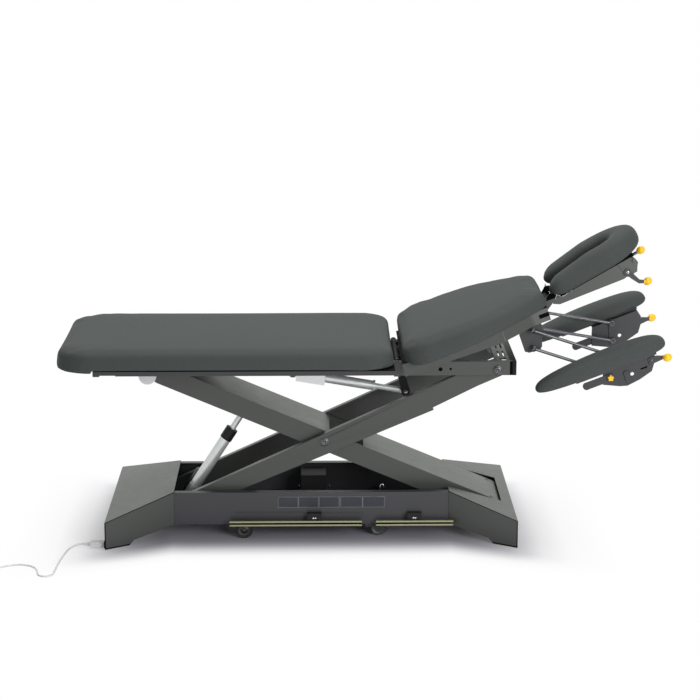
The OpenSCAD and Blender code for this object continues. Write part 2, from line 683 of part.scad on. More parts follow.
// Cross bars, hinge lugs of the back section and the lugs that hold the back actuator's motor end
bar_drop = 10;
hinge_bar_in = 48;
hinge_bar_x = back_hinge_x - hinge_bar_in;
motor_bar_in = 347;
motor_bar_x = back_hinge_x - motor_bar_in;
back_act_in = 333;
back_act_drop = 45;
back_act_foot = [back_hinge_x - back_act_in, -back_act_drop];
hinge_pin_r = 6;
hinge_lug_r = 10;
hinge_lug_t = 6;
act2_half_w = 13;
module top_cross_bars() at_origin() on_top() color(frame_grey) {
    for (x = [-top_foot_x, motor_bar_x, hinge_bar_x])
        block([x, -top_rail_in, -bar_drop / 2], [x + bar_w, top_rail_in, top_rail_top - top_wall]);
    both() {
        difference() {
            union() {
                rod(back_act_foot[0], back_act_foot[1], act2_half_w, act2_half_w,
                    act2_half_w + hinge_lug_t);
                block([back_act_foot[0] - act2_half_w, act2_half_w, back_act_foot[1]],
                    [back_act_foot[0] + act2_half_w, act2_half_w + hinge_lug_t, -bar_drop / 2 + over]);
            }
            rod(back_act_foot[0], back_act_foot[1], foot_pin_r + play, act2_half_w - over,
                act2_half_w + hinge_lug_t + over);
        }
        rod(back_hinge_x, hinge_rise, hinge_lug_r, top_rail_in - hinge_lug_t, top_rail_in);
        block([back_hinge_x - hinge_lug_r, top_rail_in - hinge_lug_t, top_rail_z],
            [back_hinge_x + hinge_lug_r, top_rail_in, hinge_rise]);
        rod(back_hinge_x, hinge_rise, hinge_pin_r, top_rail_in - hinge_lug_t * 3, top_rail_in);
        rod(back_hinge_x, hinge_rise, hinge_lug_r, top_rail_out, top_rail_out + hinge_lug_t);
        block([back_hinge_x - hinge_lug_r, top_rail_out, top_rail_z - over * 2],
            [back_hinge_x + hinge_lug_r, top_rail_out + hinge_lug_t, hinge_rise]);
    }
}
bumper = 20;
module long_tray() at_origin() on_top() color(dark_grey) {
    block([-tray_foot_x, -tray_half_w, tray_z], [long_head_x, tray_half_w, tray_top]);
    both() block([-tray_foot_x, tray_half_w - tray_sheet, tray_top - tray_lip],
        [long_head_x, tray_half_w, tray_z]);
    both() block([-tray_foot_x, tray_half_w - bumper, tray_z - bumper * 0.7],
        [bumper - tray_foot_x, tray_half_w - tray_sheet, tray_z]);
    block([-tray_foot_x, -tray_half_w + tray_sheet, tray_top - tray_lip],
        [tray_sheet - tray_foot_x, tray_half_w - tray_sheet, tray_z]);
    // Pads that carry the tray on the rails
    both() for (x = [-top_foot_x, motor_bar_x, hinge_bar_x])
        block([x, top_rail_in, top_rail_top], [x + bar_w, top_rail_out, tray_z]);
}

// Cushions: rings of an outline that is drawn in and up from the base board to the crown
side_height_share = [0, 0.1, 0.3, 0.55, 0.78, 0.92, 0.97, 1];
side_inset_share = [0.34, 0.1, 0, 0.02, 0.26, 0.9, 2, 5];
cushion_round = 26;
cushion_draw = 3;
function unit(v) = v / norm(v);
function corner_angle(p, c, n) = acos(unit(p - c) * unit(n - c));
function inset_corner(p, c, n, d) = c + unit(unit(p - c) + unit(n - c)) * d / sin(corner_angle(p, c,
    n) / 2);
function inset_outline(o, d) = [for (i = [0:len(o) - 1])
    inset_corner(o[(i + len(o) - 1) % len(o)], o[i], o[(i + 1) % len(o)], d)];
function fillet(p, c, n, r, steps) =
    let (a = corner_angle(p, c, n), run = min(r, 0.48 * min(norm(p - c), norm(n - c)) * tan(a / 2)),
        m = c + unit(unit(p - c) + unit(n - c)) * run / sin(a / 2),
            s = c + unit(p - c) * run / tan(a / 2) - m)
    [for (i = [0:steps]) m + turn(s, (180 - a) * i / steps)];
function side_points(a, b, count, draw) = [for (i = [1:count])
    let (t = i / (count + 1), d = unit(b - a)) a + (b - a) * t + [-d[1], d[0]] * draw * 4 * t * (1 - t)];
function ring_outline(o, radii, d, steps, count) =
    let (q = inset_outline(o, d), n = len(o),
        arcs = [for (i = [0:n - 1]) fillet(q[(i + n - 1) % n], q[i], q[(i + 1) % n],
            max(radii[i] - d, cushion_round / 6), steps)])
    [for (i = [0:n - 1]) each concat(arcs[i], side_points(arcs[i][steps], arcs[(i + 1) % n][0], count,
        cushion_draw))];
function skin_faces(rings, n) = concat([[for (i = [n - 1:-1:0]) i]],
    [for (k = [0:rings - 2]) for (i = [0:n - 1]) each let (a = k * n + i, b = k * n + (i + 1) % n)
        [[a, b, b + n], [a, b + n, a + n]]], [[for (i = [0:n - 1]) (rings - 1) * n + i]]);
module skin(rings) {
    n = len(rings[0]);
    polyhedron([for (r = rings) each r], [for (f = skin_faces(len(rings),
        n)) [for (i = [len(f) - 1:-1:0]) f[i]]]);
}
module cushion(outline, radii, z0, t, round, steps, count) {
    skin([for (k = [0:len(side_height_share) - 1])
        [for (p = ring_outline(outline, radii, round * side_inset_share[k], steps, count))
            [p[0], p[1], z0 + t * side_height_share[k]]]]);
}
long_small_r = 24;
module long_cushion() at_origin() on_top() color(vinyl) cushion(
    [[long_head_x, -cushion_half_w], [long_head_x, cushion_half_w], [-long_foot_x, cushion_half_w],
        [-long_foot_x, -cushion_half_w]],
    [long_small_r, long_small_r, long_corner_r, long_corner_r], tray_top + rest_gap, cushion_t,
        cushion_round, 6, 4);

// Back actuator, drawn along +X from its foot pin
crank_pin = [-11, -crank_len];
crank_in = 11;
crank_t = 6;
crank_r = 14;
back_act_to = [back_hinge_x, hinge_rise] + turn(crank_pin, back_tilt);
back_act_len = norm(back_act_to - back_act_foot);
back_act_lean = atan2(back_act_to[1] - back_act_foot[1], back_act_to[0] - back_act_foot[0]);
act2_tube_r = 16;
act2_rod_r = 9;
act2_mouth = 270;
act2_rod_start = 140;
module on_back_actuator() { on_top() translate([back_act_foot[0], 0, back_act_foot[1]]) rotate([0,
    -back_act_lean, 0]) children(); }
motor_box = [[14, -13, -24], [108, 13, 14]];
module back_actuator_body() at_origin() on_back_actuator() color(pale) {
    difference() {
        union() {
            tube_x(motor_box[1][0] - over, act2_mouth, act2_tube_r);
            tube_x(act2_mouth - act_wall * 2, act2_mouth, act2_tube_r * 1.15);
            block(motor_box[0], motor_box[1]);
            rod(0, 0, act2_half_w, -act2_half_w + rest_gap, act2_half_w - rest_gap);
            block([0, -act2_half_w + rest_gap, -act2_half_w],
                [motor_box[0][0] + over, act2_half_w - rest_gap, act2_half_w]);
        }
        tube_x(act2_rod_start - act2_rod_start * 0.4, act2_mouth + over, act2_rod_r + rest_gap);
    }
    rod(0, 0, foot_pin_r, -act2_half_w - hinge_lug_t, act2_half_w + hinge_lug_t);
}
module back_actuator_rod() at_origin() on_back_actuator() color(pale) {
    tube_x(act2_rod_start, back_act_len - crank_r / 2, act2_rod_r);
    difference() {
        rod(back_act_len, 0, crank_r * 0.9, -crank_in + over, crank_in - over);
        rod(back_act_len, 0, foot_pin_r, -crank_in, crank_in);
    }
}

// Back section: top plate, folded sides, hinge tube, crank and the lugs of the head hinge
back_start = 16;
frame_side_len = 330;
frame_neck_len = 53;
frame_neck_l = frame_end_l - frame_neck_len;
frame_half_w = 250;
rib_y = 100;
frame_neck_half_w = 166;
frame_end_half_w = 160;
skirt_t = 3;
head_lug_in = 62;
head_lug_t = 6;
head_lug_r = 13;
head_lug_points = [[-35, 1], [-35, -28], [-5, -32], [37, -2], [42, 10], [37, 20], [23, 22], [3, 3]];
head_pin_r = 7;
function frame_outline(d) = [[back_start, frame_half_w - d], [frame_side_len, frame_half_w - d],
    [frame_neck_l, frame_neck_half_w - d], [frame_end_l - d, frame_end_half_w - d]];
module back_skirt() {
    z0 = back_top - back_skirt;
    outer = frame_outline(0);
    inner = frame_outline(skirt_t);
    translate([0, 0, z0]) linear_extrude(back_skirt) {
        polygon(concat(outer, [[frame_end_l, -frame_end_half_w],
            [frame_end_l - skirt_t, -frame_end_half_w]],
            [for (i = [3:-1:0]) inner[i]]));
        mirror([0, 1, 0]) polygon(concat(outer, [for (i = [3:-1:0]) inner[i]]));
    }
}
module back_frame() at_origin() on_back() color(frame_grey) {
    translate([0, 0, back_plate_z]) linear_extrude(back_plate_t)
        polygon(concat(frame_outline(skirt_t), [for (i = [3:-1:0]) [frame_outline(skirt_t)[i][0],
            -frame_outline(skirt_t)[i][1]]]));
    back_skirt();
    // Lugs and pins that carry the head section
    both() {
        plate([for (p = head_lug_points) [frame_end_l, back_plate_z] + p], head_lug_in,
            head_lug_in + head_lug_t);
        rod(head_hinge_l, head_hinge_z, head_pin_r, channel_half_w - channel_t - over, head_lug_in);
    }
}
// Hinge tube, ribs and cranks under the back frame
module back_brackets() at_origin() on_back() color(dark_grey) {
    difference() {
        union() {
            rod(0, 0, hinge_lug_r * 0.9, -top_rail_in + hinge_lug_t + rest_gap,
                top_rail_in - hinge_lug_t - rest_gap);
            both() plate([[0, -hinge_lug_r / 2], [0, hinge_lug_r * 0.9], [back_start, back_plate_z],
                [frame_side_len / 2, back_plate_z], [frame_side_len / 2, 0]], rib_y, rib_y + crank_t);
        }
        both() rod(0, 0, hinge_pin_r + play, top_rail_in - hinge_lug_t * 3 - rest_gap, top_rail_in);
    }
    both() difference() {
        union() {
            rod(0, 0, hinge_lug_r * 0.9, crank_in, crank_in + crank_t);
            rod(crank_pin[0], crank_pin[1], crank_r, crank_in, crank_in + crank_t);
            plate([[-hinge_lug_r * 0.9, 0], [hinge_lug_r * 0.9, 0], [crank_pin[0] + crank_r, crank_pin[1]],
                [crank_pin[0] - crank_r, crank_pin[1]]], crank_in, crank_in + crank_t);
            plate([[0, hinge_lug_r * 0.9 - over], [back_start, back_plate_z],
                [crank_len * 0.8, back_plate_z],
                [0, -crank_len * 0.5]], crank_in, crank_in + crank_t);
        }
        rod(crank_pin[0], crank_pin[1], foot_pin_r, crank_in - over, crank_in + crank_t + over);
    }
}
module back_cushion() at_origin() on_back() color(vinyl) {
    x0 = back_start + back_gap - rest_gap * 10;
    cushion([[x0, -cushion_half_w], [x0 + back_side_len, -cushion_half_w],
        [x0 + back_cushion_len, -back_tip_half_w],
        [x0 + back_cushion_len, back_tip_half_w], [x0 + back_side_len, cushion_half_w],
            [x0, cushion_half_w]],
        [long_small_r, long_corner_r, long_corner_r * 0.7, long_corner_r * 0.7, long_corner_r,
            long_small_r],
        back_top + rest_gap, cushion_t, cushion_round, 5, 2);
}
arm_plate_in = 155;
arm_plate_t = 5;
arm_pin_r = 5;
arm_plate_points = [[-28, 48], [23, 48], [35, 5], [35, -31], [23, -35], [14, -63], [5, -71], [-31, -69],
    [-43, -61], [-43, -5]];
module arm_pivot_plates() at_origin() on_back() color(dark_grey) both() {
    plate([for (p = arm_plate_points) upper_pin + p], arm_plate_in, arm_plate_in + arm_plate_t);
    for (p = [upper_pin, lower_pin]) {
        rod(p[0], p[1], arm_pin_r, arm_plate_in, rod_y + rod_r + arm_pin_r);
        rod(p[0], p[1], arm_pin_r * 1.8, arm_plate_in, rod_y - eye_half_w - rest_gap);
        rod(p[0], p[1], arm_pin_r * 1.6, rod_y + eye_half_w + rest_gap, rod_y + rod_r + arm_pin_r);
    }
}

// Head section
channel_t = 4;
board_z = -3;
board_t = 5;
head_back = 12;
head_straight = 200;
head_slot_half_w = head_roll_y - head_roll_half_w;
channel_side = [[0, -12], [48, -15], [242, -11], [242, -65], [228, -67], [10, -36], [-8, -24]];
end_plate = [[232, -12], [262, -4], [290, -24], [293, -40], [284, -52], [276, -66], [240, -66]];
knob_z = -24;
knob_x = 321;
stem_r = 5;
end_wall_x = 284;
end_wall_drop = 22;
channel_ties = [[18, 44], [236, 256]];
post_xs = [30, 240];
tie_z = -15;
head_lever_pin = [248, -52];
module head_frame() at_origin() on_head() {
    color(frame_grey) both() difference() {
        union() {
            plate(channel_side, channel_half_w - channel_t, channel_half_w);
            rod(0, -head_pin_r, head_lug_r, channel_half_w - channel_t, channel_half_w);
            plate(end_plate, channel_half_w, channel_half_w + channel_t);
        }
        rod(0, 0, head_pin_r + play, channel_half_w - channel_t - over, channel_half_w + over);
    }
    color(frame_grey) for (x = channel_ties)
        block([x[0], -channel_half_w + over, tie_z - channel_t], [x[1], channel_half_w - over, tie_z]);
    color(frame_grey) difference() {
        block([end_wall_x, -channel_half_w - over, knob_z - end_wall_drop],
            [end_wall_x + channel_t, channel_half_w + over, tie_z]);
        translate([0, 0, knob_z]) tube_x(end_wall_x - over, end_wall_x + channel_t + over, stem_r + play);
    }
    // Pin of the release lever
    near() rod(head_lever_pin[0], head_lever_pin[1], arm_pin_r, channel_half_w,
        channel_half_w + channel_t * 2 + over * 2);
    // Board under the horseshoe, on four posts
    color(dark_grey) {
        both() block([head_back * 2, head_slot_half_w + channel_t, board_z - board_t],
            [head_straight + head_roll_y, head_slot_half_w + head_roll_half_w, board_z]);
        block([head_straight + head_roll_y * 0.7, -head_slot_half_w - channel_t, board_z - board_t],
            [head_straight + head_roll_y, head_slot_half_w + channel_t, board_z]);
        both() for (x = post_xs) block([x, head_slot_half_w + channel_t, tie_z - channel_t],
            [x + bar_w / 2, channel_half_w - over, board_z - over]);
    }
}
// Cross-section of the horseshoe roll, swept round the U
roll_sides = 14;
roll_steps = 26;
function u_path(s) = let (straight = head_straight - head_back, arc = PI * head_roll_y,
    total = straight * 2 + arc, d = s * total)
    d < straight ? [head_back + d, -head_roll_y, 0] :
    d > straight + arc ? [head_back + total - d, head_roll_y, 180] :
    let (a = (d - straight) / arc * 180) [head_straight + head_roll_y * sin(a), -head_roll_y * cos(a), a];
tip_share = [0.3, 0.62, 0.8, 0.92];
tip_path_share = [0, 0.012, 0.034, 0.062];
tips = len(tip_share);
function tip_size(k) = k < tips ? tip_share[k] : k > roll_steps - tips ? tip_share[roll_steps - k] : 1;
function roll_path_share(k) = k < tips ? tip_path_share[k]
    : k > roll_steps - tips ? 1 - tip_path_share[roll_steps - k]
    : tip_path_share[tips - 1] + (k - tips + 1) / (roll_steps
        - tips * 2 + 2) * (1 - 2 * tip_path_share[tips - 1]);
roll_low_share = 0.74;
function roll_height(x) =
    head_t * (roll_low_share + (1 - roll_low_share) * min(1, (x - head_back) / (head_straight * 0.8)));
function blunt(v, e) = sign(v) * pow(abs(v), e);
function roll_ring(k) =
    let (p = u_path(roll_path_share(k)), f = tip_size(k), h = roll_height(p[0]))
    [for (i = [0:roll_sides - 1])
        let (a = 360 * (i + 0.5) / roll_sides, across = head_roll_half_w * f * blunt(cos(a), 0.75),
            up = h / 2 * f * blunt(sin(a), 0.7))
        [p[0] + across * sin(p[2]), p[1] - across * cos(p[2]), board_z + rest_gap + h / 2 + up]];
module head_cushion() at_origin() on_head() color(vinyl) skin([for (k = [roll_steps:-1:0]) roll_ring(k)]);
module knob(r) { rotate([0, 90, 0]) rotate_extrude() polygon(concat([[0, -r]],
    [for (a = [-75:15:75]) [r * 0.92 * cos(a), r * 1.05 * sin(a)]], [[0, r]])); }
module head_push_knob() at_origin() on_head() color(yellow) {
    translate([knob_x, 0, knob_z]) knob(knob_r);
    translate([0, 0, knob_z]) tube_x(end_wall_x - channel_t * 5, knob_x, stem_r);
}
head_lever_path = [[240, -58], [256, -46], [262, -66], [270, -92], [292, -108], [289, -116], [262, -102],
    [250, -80]];
head_knob = [290, -112];
module head_release_lever() at_origin() on_head() near() {
    color(dark_grey) difference() {
        union() {
            plate(head_lever_path, channel_half_w + channel_t + rest_gap, channel_half_w + channel_t * 2);
            rod(head_lever_pin[0], head_lever_pin[1], head_lug_r * 0.9,
                channel_half_w + channel_t + rest_gap, channel_half_w + channel_t * 2);
        }
        rod(head_lever_pin[0], head_lever_pin[1], arm_pin_r + play, channel_half_w,
            channel_half_w + channel_t * 3);
    }
    color(yellow) translate([head_knob[0], channel_half_w - channel_t / 2, head_knob[1]]) knob(knob_r);
}

// Armrests: two rods, an end block, a bracket with its pad, a release lever and a star knob
eye_r = 9;
eye_half_w = 5.5;
module armrest_rod(pin, angle) {
    q = rod_end(pin, angle);
    color(steel) difference() {
        union() {
            translate([pin[0], rod_y, pin[1]]) rotate([0, 90 + angle, 0])
                translate([0, 0, rod_r * 1.4]) cylinder(r = rod_r, h = rod_len - rod_r * 2.8);
            for (p = [pin, q]) rod(p[0], p[1], eye_r, rod_y - eye_half_w, rod_y + eye_half_w);
        }
        for (p = [pin, q]) rod(p[0], p[1], arm_pin_r + play, rod_y - eye_half_w - over,
            rod_y + eye_half_w + over);
    }
}
link_y = rod_y + rod_r + 3;
link_t = 5;
bracket_y = link_y + link_t + rest_gap;
bracket_plate = 5;
outer_link_y = bracket_y + bracket_plate + rest_gap;
hub_r = 6;
module arm_block(angle) {
    u = rod_end(upper_pin, angle);
    l = rod_end(lower_pin, angle);
    hub = armrest_hub(angle);
    color(dark_grey) {
        link(u, l, arm_pin_r * 2.2, link_y, link_y + link_t);
        rod(hub[0], hub[1], hub_r * 2, link_y, link_y + link_t);
        for (p = [u, l]) rod(p[0], p[1], arm_pin_r, rod_y - rod_r - rest_gap * 2, link_y);
        rod(hub[0], hub[1], hub_r, link_y, outer_link_y + link_t + over);
        link(hub, hub + [0, -bar_w], hub_r * 1.5, outer_link_y, outer_link_y + link_t);
    }
}
pad_under = 54;
pad_from = -286;
pad_mid_y = rod_y + rod_r + 9 + pad_w / 2;
pad_board_t = 5;
bracket_path = [[-68, 30], [-82, -9], [-33, -33], [-10, -40], [33, -35], [78, -23], [96, 2], [105, 27],
    [100, 48], [-60, 48]];
module on_armrest(angle) {
    hub = armrest_hub(angle);
    on_back() translate([hub[0], 0, hub[1]]) rotate([0, -armrest_tilt, 0]) children();
}
lever_hub = [88, 10];
guide = [[-132, 6], [-52, 6]];
guide_r = 12;
shelf = [-60, 100];
bracket_hole = [16.7, -9.6];
bracket_hole_r = 6;
star_at = [-52, 6];
star_stem_r = 4;
module bracket() {
    color(dark_grey) difference() {
        plate(bracket_path, bracket_y, bracket_y + bracket_plate);
        rod(0, 0, hub_r + play, bracket_y - over, bracket_y + bracket_plate + over);
        rod(bracket_hole[0], bracket_hole[1], bracket_hole_r, bracket_y - over,
            bracket_y + bracket_plate + over);
        rod(star_at[0], star_at[1], star_stem_r + play, bracket_y - over, bracket_y + bracket_plate + over);
    }
    color(black) {
        block([pad_from + pad_w, pad_mid_y - pad_w * 0.3, pad_under - pad_board_t - rest_gap],
            [pad_from + pad_len - pad_w / 3, pad_mid_y + pad_w * 0.3, pad_under - rest_gap]);
        block([shelf[0], bracket_y, pad_under - pad_board_t - over * 2],
            [shelf[1], pad_mid_y, pad_under - pad_board_t]);
        difference() {
            link(guide[0], guide[1], guide_r, outer_link_y - rest_gap, outer_link_y + link_t);
            rod(star_at[0], star_at[1], star_stem_r + play, outer_link_y - over,
                outer_link_y + link_t + over);
        }
        rod(lever_hub[0], lever_hub[1], arm_pin_r, bracket_y, outer_link_y + link_t);
    }
}
// The pad is widest at this share of its length and thins towards its foot end
pad_wide = 0.6;
pad_sides = 32;
pad_blunt = [0.72, 0.86];
pad_thin = 0.56;
pad_wide_x = pad_from + pad_len * pad_wide;
pad_scale_share = [0.9, 0.985, 1, 0.985, 0.93, 0.8, 0.6, 0.36, 0.14];
pad_height_share = [0, 0.1, 0.28, 0.5, 0.7, 0.86, 0.95, 0.99, 1];
pad_last = len(pad_scale_share) - 1;
function pad_edge(a) = let (head = cos(a) > 0, e = head ? pad_blunt[0] : pad_blunt[1])
    [pad_len * (head ? 1 - pad_wide : pad_wide) * blunt(cos(a), e), pad_w / 2 * blunt(sin(a), e)];
function pad_rise(x) = pad_t * (pad_thin + (1 - pad_thin) * ease((x - pad_from) / (pad_wide_x - pad_from)));
function pad_ring(k) = [for (i = [0:pad_sides - 1])
    let (p = pad_edge(360 * (i + 0.5) / pad_sides) * pad_scale_share[k], x = pad_wide_x + p[0])
    [x, pad_mid_y + p[1], pad_under + pad_height_share[k] * (k < pad_last ? pad_rise(x) : pad_t)]];
module pad() { color(vinyl) skin([for (k = [0:pad_last]) pad_ring(k)]); }
lever_path = [[-10, -10], [10, -10], [34, -8], [47, -12], [55, -6], [50, 2], [37, 3], [20, 10], [2, 12],
    [-10, 8]];
module armrest_lever() {
    color(dark_grey) difference() {
        plate([for (p = lever_path) lever_hub + p], outer_link_y, outer_link_y + link_t);
        rod(lever_hub[0], lever_hub[1], arm_pin_r + play, outer_link_y - over,
            outer_link_y + link_t + over);
    }
    color(yellow) translate([lever_knob[0], outer_link_y + knob_r - over, lever_knob[1]]) knob(knob_r);
}
star_points = 5;
module star_knob() {
    color(steel) rod(star_at[0], star_at[1], star_stem_r, bracket_y, outer_link_y + link_t + over);
    color(yellow) translate([star_at[0], outer_link_y + link_t + rest_gap, star_at[1]]) rotate([-90, 0,
        0]) {
        cylinder(r = knob_r * 0.5, h = knob_r * 0.9);
        for (i = [0:star_points - 1]) rotate([0, 0, i * 360 / star_points]) translate([knob_r * 0.42, 0, 0])
            cylinder(r = knob_r * 0.28, h = knob_r * 0.8);
    }
}
module near_lower_rod() at_origin() on_back() near() armrest_rod(lower_pin, near_rod_angle);
module near_upper_rod() at_origin() on_back() near() armrest_rod(upper_pin, near_rod_angle);
module near_arm_block() at_origin() on_back() near() arm_block(near_rod_angle);
module near_bracket() at_origin() on_armrest(near_rod_angle) near() bracket();
module near_pad() at_origin() on_armrest(near_rod_angle) near() pad();
module near_lever() at_origin() on_armrest(near_rod_angle) near() armrest_lever();
module near_star_knob() at_origin() on_armrest(near_rod_angle) near() star_knob();
module far_lower_rod() at_origin() on_back() armrest_rod(lower_pin, far_rod_angle);
module far_upper_rod() at_origin() on_back() armrest_rod(upper_pin, far_rod_angle);
module far_arm_block() at_origin() on_back() arm_block(far_rod_angle);
module far_bracket() at_origin() on_armrest(far_rod_angle) bracket();
module far_pad() at_origin() on_armrest(far_rod_angle) pad();
module far_lever() at_origin() on_armrest(far_rod_angle) armrest_lever();
module far_star_knob() at_origin() on_armrest(far_rod_angle) star_knob();

// Mains lead: connector in the inlet, a free run on the floor, a stored coil and the plug
inlet_y = -300;
inlet_z = 13;
inlet_w = 34;
inlet_h = 20;
inlet_lip = 4;
plug_w = 26;
plug_h = 16;
connector_len = 48;
relief_len = 24;
cord_r = cord_d / 2;
cord_route = [[-722, -300, 13], [-734, -301, 12], [-747, -305, 9], [-758, -314, 5], [-765, -330, 3.2],
    [-769, -352, 3],
    [-773, -385, 3], [-777, -420, 3], [-780, -460, 3], [-782, -500, 3], [-783, -540, 3], [-785, -565, 3],
        [-792, -582, 3],
    [-808, -590, 3], [-824, -582, 3], [-832, -565, 3], [-836, -540, 3], [-844, -515, 3], [-858, -494, 3],
        [-878, -480, 3],
    [-902, -475, 3], [-930, -484, 3], [-955, -500, 3], [-978, -520, 3], [-1002, -537, 3], [-1024, -546, 3],
        [-1044, -548, 3]];
function spline(p, t) = let (n = len(p) - 1, i = min(floor(t), n - 1), u = t - i, a = p[max(i - 1, 0)],
    b = p[i],
    c = p[i + 1], d = p[min(i + 2, n)])
    ((2 * b) + (c - a) * u + (2 * a - 5 * b + 4 * c - d) * u * u + (3 * b - a - 3 * c + d) * u * u * u) / 2;
function tube_ring(c, dir, r, sides) = let (s = unit(cross(dir, [0, 0, 1])), up = cross(s, dir))
    [for (i = [0:sides - 1]) let (a = 360 * (i + 0.5) / sides) c + r * (s * cos(a) + up * sin(a))];
module tube_along(points, r, sides, first, last) {
    n = len(points) - 1;
    skin([for (i = [n:-1:0]) tube_ring(points[i], i == 0 ? first
        : i == n ? last : unit(points[i + 1] - points[i - 1]), r, sides)]);
}
cord_points = [for (i = [0:(len(cord_route) - 1) * 2]) spline(cord_route, i / 2)];
coil_centre = [-1050, -590];
coil_mean_r = 33.5;
coil_layers = 4;
coil_layer_turns = 2.5;
coil_turns = coil_layers * coil_layer_turns;
coil_steps = 24;
coil_end_turn = 0.25;
function coil_phase(t) = t / coil_layer_turns;
function coil_r(t) = let (k = floor(coil_phase(t)), u = coil_phase(t) - k)
    coil_mean_r + coil_pitch * coil_layer_turns * ((k % 2 == 0 ? 1 - u : u) - 0.5);
function ease(x) = let (c = min(1, max(0, x))) c * c * (3 - 2 * c);
function coil_z(t) = cord_r + coil_pitch * [for (k = [1:coil_layers
    - 1]) ease((t - k * coil_layer_turns) * 2 + 0.5)] * [1, 1, 1];
function coil_point(t) = let (a = 90 + 360 * t, r = t > coil_turns ? coil_r(coil_turns - 0.001) : coil_r(t))
    [coil_centre[0] + r * cos(a), coil_centre[1] + r * sin(a), coil_z(t)];
coil_last = coil_turns + coil_end_turn;
coil_start = coil_point(0);
coil_stop = coil_point(coil_last);
plug_r = 19.5;
coil_path = concat([coil_start + [cord_d, 0, 0]], [for (i = [0:coil_last * coil_steps]) coil_point(i / coil_steps)],
    [coil_stop + [0, -10, -1], [coil_stop[0], coil_stop[1] - 20, plug_r + 0.4],
        [coil_stop[0], coil_stop[1] - 26, plug_r]]);
coil_skip = 10;
coil_gap = min([for (i = [0:len(coil_path) - 1]) for (j = [i + coil_skip:1:len(coil_path) - 1])
    norm(coil_path[i] - coil_path[j])]) - cord_d;
echo(coil_self_gap = coil_gap);  // mains_coil
function path_len(p, i = 0, total = 0) = i >= len(p) - 1 ? total
    : path_len(p, i + 1, total + norm(p[i + 1] - p[i]));
echo(cord_run = path_len(cord_points), coil_run = path_len(coil_path));

module mains_connector() at_origin() color(pale) {
    block([-base_half_len - connector_len, inlet_y - plug_w / 2, inlet_z - plug_h / 2],
        [-base_half_len, inlet_y + plug_w / 2, inlet_z + plug_h / 2]);
    translate([cord_route[0][0], inlet_y, inlet_z]) rotate([0, 90, 0]) cylinder(r1 = cord_r * 1.15,
        r2 = plug_h * 0.42, h = relief_len);
}
module mains_cord() at_origin() color(pale) tube_along(cord_points, cord_r, 8, [-1, 0, 0], [-1, 0, 0]);
module mains_coil() at_origin() color(pale) tube_along(coil_path, cord_r, 6, [-1, 0, 0], [0, -1, 0]);
plug_relief = 30;
plug_body = 34;
plug_pin_r = 2.4;
plug_pin_len = 19;
plug_pin_y = 9.5;
module mains_plug() at_origin() color(pale) translate([coil_stop[0], coil_stop[1] - 26, plug_r]) rotate([90,
    0, 0]) {
    cylinder(r1 = cord_r * 1.15, r2 = plug_r * 0.45, h = plug_relief);
    translate([0, 0, plug_relief - over]) cylinder(r = plug_r, h = plug_body);
    for (s = [-1, 1]) translate([s * plug_pin_y, 0,
        plug_relief + plug_body - over * 2]) cylinder(r = plug_pin_r, h = plug_pin_len);
}

module base_rail_near() at_origin() near() base_rail();
module base_rail_far() at_origin() base_rail();

base_rail_near();
base_rail_far();
foot_end_cover();
head_end_cover();
base_cross_members();
levelling_feet();
control_box();
pedal_switch_boxes();
castor_brackets();
castor_wheels_foot();
castor_wheels_head();
pedal_near_foot();
pedal_near_head();
pedal_far_foot();
pedal_far_head();
lower_axle();
inner_arm();
inner_rollers();
outer_arm_near();
outer_arm_far();
outer_cross_tube();
outer_rollers();
scissor_pivot_bolts();
lift_actuator_tube();
lift_actuator_collar();
lift_actuator_rod();
top_rail_near();
top_rail_far();
head_cross_member();
top_cross_bars();
long_tray();
long_cushion();
back_actuator_body();
back_actuator_rod();
back_frame();
back_brackets();
back_cushion();
arm_pivot_plates();
head_frame();
head_cushion();
head_push_knob();
head_release_lever();
near_lower_rod();
near_upper_rod();
near_arm_block();
near_bracket();
near_pad();
near_lever();
near_star_knob();
far_lower_rod();
far_upper_rod();
far_arm_block();
far_bracket();
far_pad();
far_lever();
far_star_knob();
mains_connector();
mains_cord();
mains_coil();
mains_plug();
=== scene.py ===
"""Looks of a scissor lift treatment table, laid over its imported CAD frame."""

import json
import math
from collections import namedtuple

import bpy
from mathutils import Matrix, Vector


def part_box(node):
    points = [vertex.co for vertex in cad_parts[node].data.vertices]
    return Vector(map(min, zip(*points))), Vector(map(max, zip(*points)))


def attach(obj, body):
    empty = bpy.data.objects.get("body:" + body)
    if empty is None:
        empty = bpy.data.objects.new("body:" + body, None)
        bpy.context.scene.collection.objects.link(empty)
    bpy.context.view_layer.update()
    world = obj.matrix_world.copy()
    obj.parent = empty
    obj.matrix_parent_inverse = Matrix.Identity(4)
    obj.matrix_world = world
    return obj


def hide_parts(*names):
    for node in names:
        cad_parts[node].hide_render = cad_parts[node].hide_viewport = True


bl_info = {
    "name": "Scissor lift treatment table",
    "version": (1, 1, 0),
    "blender": (4, 5, 0),
    "location": "3D View > Sidebar > Table",
    "description": "Dresses the CAD frame of a treatment table with upholstery, paint, a mains lead and a studio",
    "category": "Object",
}

